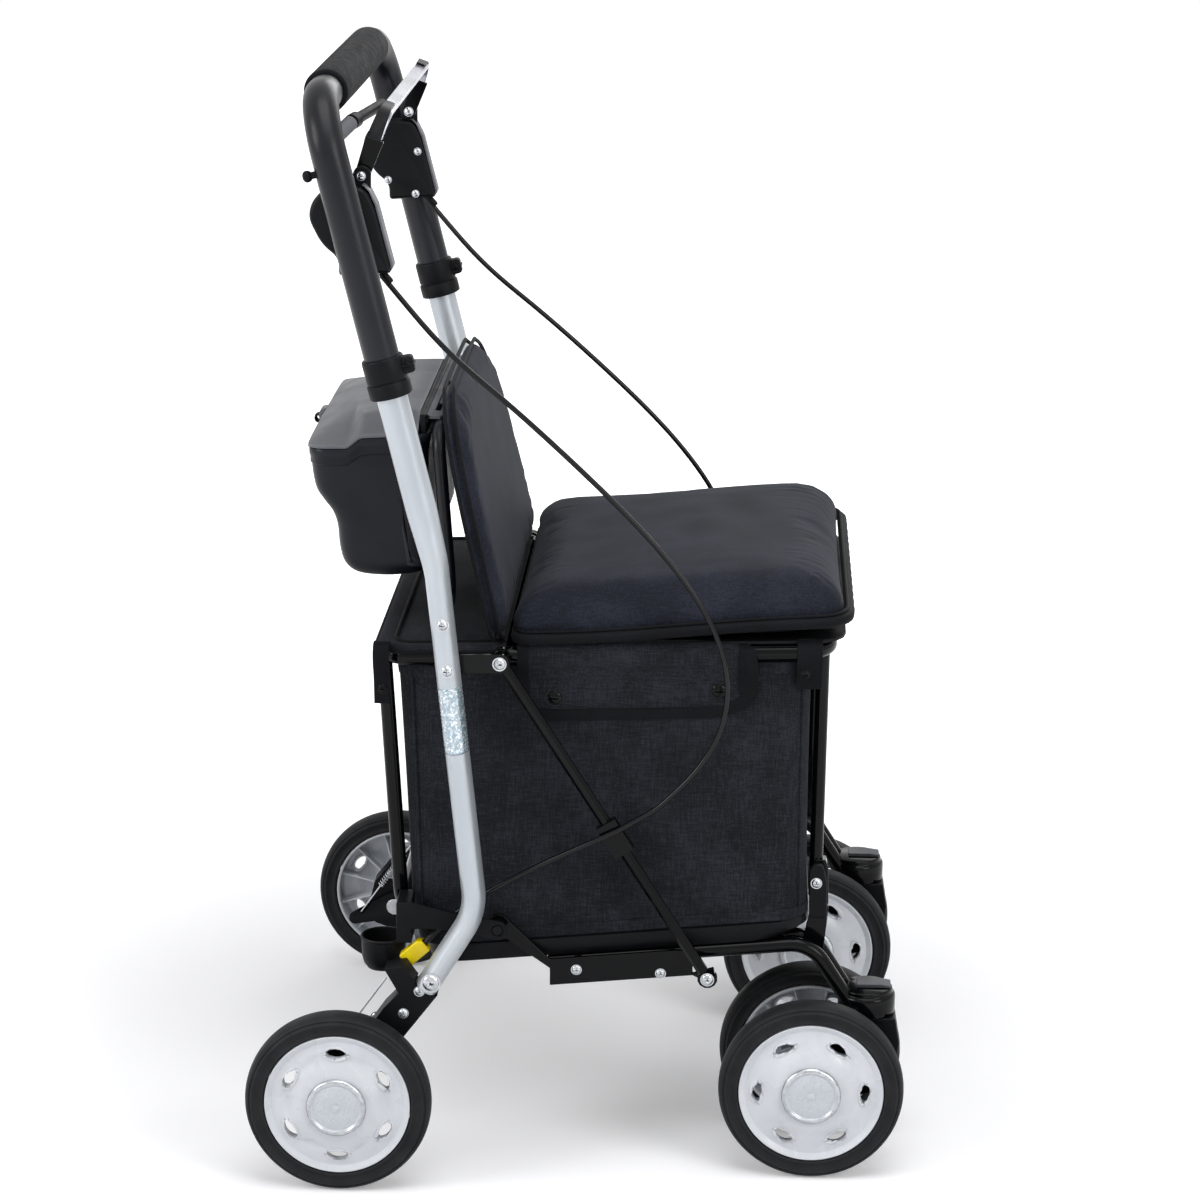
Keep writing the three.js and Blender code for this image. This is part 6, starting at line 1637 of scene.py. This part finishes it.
FLAP_REAR, FLAP_FRONT = -163, -374
POCKET_REAR, POCKET_FRONT = -176, -366
bag_parts = []
for side, s in BOTH:
    flap = Form()
    ys = np.linspace(FLAP_REAR, FLAP_FRONT, 44)
    grid = []
    for level in np.linspace(0, 1, 22):
        line = []
        for y in ys:
            rise = np.interp(y, (FLAP_FRONT, -352, -200, FLAP_REAR), (4.5, 0, -5.5, -3))
            edge = min(y - FLAP_FRONT, FLAP_REAR - y)
            lift = 9 * max(0.0, 1 - edge / 14) ** 2
            low = 449.5 + rise + lift
            z = mix(512.5, low, level)
            line.append(flap_place(s, y, z, 2.2 + 0.8 * math.sin(y * 0.06) * level))
        grid.append(line)
    flap.skin(grid, closed=False)
    flap_obj = piece("side_flap_" + side, flap, "rear_frame", BAG_CLOTH, thick=1.4)
    bound = Form()
    for col in (0, -1):
        line = np.array([grid[k][col] for k in range(len(grid))])
        inward = 1 if col == 0 else -1
        rings = []
        for pt in line:
            y0, reach = pt[1], -9.5 * inward
            rings.append([(pt[0] - s * 1.9, y0 + 1.2 * inward, pt[2]), (pt[0] + s * 0.9, y0 + 1.2 * inward, pt[2]),
                          (pt[0] + s * 1.2, y0 + reach * 0.5, pt[2]), (pt[0] + s * 0.7, y0 + reach, pt[2]),
                          (pt[0] - s * 1.9, y0 + reach, pt[2])])
        bound.skin(rings)
    edge_obj = piece("flap_binding_" + side, bound, "rear_frame", BINDING)
    under = Form()
    rings = []
    for y in np.linspace(POCKET_REAR, POCKET_FRONT, 40):
        edge = min(y - POCKET_FRONT, POCKET_REAR - y)
        lift = 10 * max(0.0, 1 - edge / 16) ** 2
        base_z = np.interp(y, (POCKET_FRONT, -352, -200, POCKET_REAR), (447, 444.5, 438.5, 439)) + lift
        half_tall = 6.4 * min(1.0, 0.55 + edge / 30)
        x0 = float(wall_x(y, base_z))
        rings.append([(s * (x0 + o), y, base_z + h * half_tall) for o, h in (
            (0.2, -1), (1.7, -0.9), (2.3, 0), (1.7, 0.9), (0.2, 1))])
    under.skin(rings)
    pocket = piece("pocket_binding_" + side, under, "rear_frame", BINDING)
    flap_snaps = heads("flap_snaps_" + side, "rear_frame", [
        (*flap_place(s, y, z, 2.6), (s, 0, 0), 7.2) for y, z in ((-195.4, 455.2), (-347.0, 464.9))
    ], GLOSS_ENAMEL, dome=0.42, cross=0.0, slot="black_plastic")

    rear_tab = strap("rear_corner_tab_" + side, s, -29, -44, [
        (200.5, 447), (201.6, 458), (204.0, 474), (209.6, 488), (210.0, 497), (206, 504), (199, 505.5), (192, 503)])
    front_tab = strap("front_corner_tab_" + side, s, -418, -441, [
        (199.5, 468), (201.0, 476), (205.0, 486), (210.0, 496),
        (210.2, 505), (206.5, 512.6), (200.0, 514.4), (192, 512)])
    tab_snaps = heads("tab_snaps_" + side, "rear_frame", [
        (s * 202.6, -37, 461.8, (s, 0, 0), 4.4), (s * 205.6, -425.5, 483.5, (s, 0, -0.3), 4.4)],
        GLOSS_ENAMEL, dome=0.5, cross=0.0, slot="black_plastic")
    web = [(-374, 508), (-377, 490), (-377, 470), (-370, 455), (-356, 448)]
    curve = smooth([(0, y, z) for y, z in web], 8)
    carry = Form()
    rings = []
    for pt, run in zip(curve, headings(curve)):
        side_way = np.array((0, -run[2], run[1]))
        x0 = abs(flap_place(s, pt[1], pt[2], 3.0)[0])
        rings.append([(s * (x0 + o), *(pt + side_way * w)[1:]) for w, o in (
            (-5.5, -0.6), (-5.5, 0.8), (0, 1.3), (5.5, 0.8), (5.5, -0.6))])
    carry.skin(rings)
    carry_strap = piece("carrying_strap_" + side, carry, "rear_frame", BINDING, bevel=0.4)
    seam_line = [flap_place(s, y, float(np.interp(y, (-362, -352, -200, -176), (455.5, 453, 447.6, 449.5))), 3.1)
                 for y in np.linspace(-178, -362, 60)]
    stitches = grow("flap_stitches_" + side, path_mesh("flap_seam_" + side, seam_line), STITCHES, "rear_frame", {
        "Pitch": 0.0042, "Length": 0.003, "Thread": 0.0006, "Material": BAG_CLOTH})
    bag_parts += [flap_obj, edge_obj, pocket, flap_snaps, rear_tab, front_tab, tab_snaps, carry_strap, stitches]
for obj in [walls, hems, corner_piping] + bag_parts:
    spot(0, BAG_REAR, 300)
    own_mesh(obj)

# Cover over the rear half of the bag's mouth, turned down round the ring, with a corded edge
cover = Form()
COVER = [(6.9, 6.8), (4.2, 8.9), (0, 9.8), (-9, 9.9), (-11, 9.2), (-13, 9.9), (-40, 10.8), (-80, 11.4)]


def cover_line(out):
    """Along the ring's middle line, moved out, from its far end round the rear to its near end."""
    corner = max(RING_BEND + out, 3.0)
    made = []
    half, back = RING_HALF + out, RING_REAR + out
    for y in np.linspace(-4, back - corner, 9)[:-1]:
        made.append((half, y))
    for a in np.linspace(0, math.pi / 2, 9):
        made.append((half - corner + corner * math.cos(a), back - corner + corner * math.sin(a)))
    for x in np.linspace(half - corner, -(half - corner), 41)[1:-1]:
        made.append((x, back))
    for a in np.linspace(math.pi / 2, math.pi, 9):
        made.append((-(half - corner) + corner * math.cos(a), back - corner + corner * math.sin(a)))
    for y in np.linspace(back - corner, -4, 9)[1:]:
        made.append((-half, y))
    return made


rows = [[on_seat(x, y, up + (0.7 * math.sin(x * 0.05 + y * 0.03) if out < -20 else 0)) for x, y in cover_line(out)]
        for out, up in COVER]
rows.append([on_seat(x, -4, 11.4) for x in np.linspace(116, -116, len(rows[0]))])
cover.skin(rows, closed=False)
rear_cover = piece("rear_mouth_cover", cover, "rear_frame", BAG_CLOTH, thick=1.2)
cord_edge = Form()
for out, up, r in ((7.2, 5.6, 1.9), (-11, 10.2, 2.0)):
    cord_edge.cord([on_seat(x, y, up) for x, y in cover_line(out)], r, 10)
cover_piping = piece("rear_cover_piping", cord_edge, "rear_frame", BINDING)


# Brake cables: one route on each side, from the housing by the brace's clip to the hub

CABLE = [
    (215.5, -42, 849.5), (216.5, -59.4, 829.8), (217.5, -79.7, 802.2), (219, -104.4, 776.6), (220.5, -127.6, 757.7),
    (222, -148.3, 743.3), (224, -184.6, 709.6), (226, -213.3, 684.8), (228, -247.8, 650.8), (229.5, -277.7, 623),
    (230.5, -305.9, 590.2), (231, -333.9, 553.5), (231.5, -350.2, 521.9), (231.5, -359, 483.4), (231, -358.2, 452.7),
    (230.5, -346.5, 417.3), (230, -324.4, 386), (229.6, -293.2, 360.5), (229.5, -256.2, 337.3), (229, -230.2, 324.5),
    (223, -177.4, 297.5), (216.5, -140.6, 273.8), (217.5, -105.1, 250.5), (220.4, -90.5, 235.5),
    (225.6, -77.4, 222.4), (225.6, -56.6, 203.6),
]
CABLE_R = 2.5


def eased(points, held, rounds):
    """Takes the wobble out of a line, keeping its held points where they are."""
    line = np.array(points, float)
    free = np.ones(len(line), bool)
    free[list(held)] = False
    free[[0, -1]] = False
    for _ in range(rounds):
        middle = (np.roll(line, 1, 0) + np.roll(line, -1, 0)) / 2
        line[free] += 0.6 * (middle - line)[free]
    return line


for side, s in BOTH:
    route = np.array([(s * x, y, z) for x, y, z in CABLE])
    upper = evenly(eased(smooth(route[:19], 4), [68, 69, 70, 71], 26), 60)
    lower = evenly(eased(smooth(route[18:], 4), [0, 1, 2, 3, 4, 24, 25, 26, 27], 10), 26)
    split = 40
    parts = (
        ("brake_cable_upper_", upper[:split + 1], ("handle", "rear_frame"), (0, -45, 846), (0, -300, 600)),
        ("brake_cable_middle_", upper[split:], ("rear_frame", "braces"), (0, -350, 500), (0, -290, 362)),
        ("brake_cable_lower_", lower, ("braces", "rear_frame"), (0, -230, 322), (0, -100, 246)),
    )
    for k, (label, line, bodies, start, end) in enumerate(parts):
        sheath = Form()
        sheath.cord(line, CABLE_R, 14)
        stands_for = ("brake_cable_" + side,) if k == 0 else ()
        obj = piece(label + side, sheath, None, CABLE_SHEATH, stands_for)
        spot(*start)
        spot(*end)
        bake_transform(obj)
        spot(*line[0])
        [spot(*p) for p in line]
    ferrule = Form()
    ferrule.lathe([(0, 0), (3.4, 0), (3.6, 0.6), (3.6, 11), (2.9, 13), (0, 13)], route[0] + (0, 0, 3),
                  route[1] - route[0], 28)
    piece("cable_boot_" + side, ferrule, "handle", BLACK_NYLON)
    top, foot = np.array((s * 228.6, -40.0, 187.0)), np.array((s * 228.6, 36.5, 79.0))
    wire = Form()
    wire.tube([top, foot], 0.9, 0, 12)
    obj = piece("brake_wire_" + side, wire, None, ZINC_STEEL)
    spot(*top)
    spot(*foot)
    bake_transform(obj)
    run = unit(foot - top)
    anchor = bpy.data.meshes.new("spring_seat_" + side)
    coil = grow("brake_spring_" + side, anchor, COIL, None, {
        "Turns": 15.0, "Length": 0.046, "Radius": 0.0033, "Wire": 0.0006, "Start": spot(*(top + run * 50)),
        "Run": tuple(run), "Material": ZINC_STEEL,
    })
    spot(*top)
    spot(*foot)
    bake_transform(coil)


# Floor, backdrop and light

def seen_directly(tree):
    """1 for rays from the camera and for those that mirror or pass through, 0 for the light that surfaces get."""
    path = add(tree, "ShaderNodeLightPath").outputs
    seen = add(tree, "ShaderNodeMath", {0: path["Is Camera Ray"], 1: path["Is Glossy Ray"]}, operation="MAXIMUM")
    return add(tree, "ShaderNodeMath", {0: seen, 1: path["Is Transmission Ray"]}, operation="MAXIMUM")


def stage():
    made, tree = blank("pale_studio_floor")
    seen = seen_directly(tree)
    paper = add(tree, "ShaderNodeBsdfDiffuse", {
        "Color": shades(tree, pattern(tree, 900.0), "#ececee", "#f1f1f3"), "Roughness": 0.4,
    })
    # Painted light: the glow seen from the camera grows with distance from the middle, so the floor stays greyer
    # round the object and turns white further out
    spots = add(tree, "ShaderNodeTexCoord").outputs["Object"]
    away = add(tree, "ShaderNodeVectorMath", {0: spots}, operation="LENGTH").outputs["Value"]
    lift = between(tree, away, 0.2, 0.95, 0.5, 2.2)
    glow = add(tree, "ShaderNodeEmission", {"Color": linear("#ffffff"), "Strength": add(
        tree, "ShaderNodeMath", {0: seen, 1: lift}, operation="MULTIPLY")})
    both = add(tree, "ShaderNodeAddShader", {0: paper, 1: glow})
    add(tree, "ShaderNodeOutputMaterial", {"Surface": both})
    mesh = bpy.data.meshes.new("studio_floor")
    mesh.from_pydata([(-9, -9, 0), (9, -9, 0), (9, 9, 0), (-9, 9, 0)], [], [(0, 1, 2, 3)])
    mesh.materials.append(made)
    floor = linked("studio_floor", mesh)

    world = bpy.data.worlds.new("white_studio")
    bpy.context.scene.world = world
    world.use_nodes = True
    tree = world.node_tree
    tree.nodes.clear()
    level = add(tree, "ShaderNodeMapRange", {"Value": seen_directly(tree), "To Min": 0.44, "To Max": 1.0})
    sky = add(tree, "ShaderNodeBackground", {"Color": linear("#ffffff"), "Strength": level})
    add(tree, "ShaderNodeOutputWorld", {"Surface": sky})

    for name, place, size, power in (
        ("overhead_softbox", (-0.8, -0.3, 2.9), 2.0, 36), ("front_softbox", (-2.2, -2.4, 1.9), 1.4, 32),
        ("rear_softbox", (-1.4, 2.6, 1.7), 1.2, 34), ("far_softbox", (2.6, -0.8, 2.0), 1.6, 18),
    ):
        data = bpy.data.lights.new(name, "AREA")
        data.energy = power
        data.size = size
        lamp = linked(name, data)
        lamp.location = place
        lamp.rotation_euler = (Vector((0, 0, 0.45)) - Vector(place)).to_track_quat("-Z", "Y").to_euler()
    bpy.context.scene.view_settings.view_transform = "Standard"


stage()
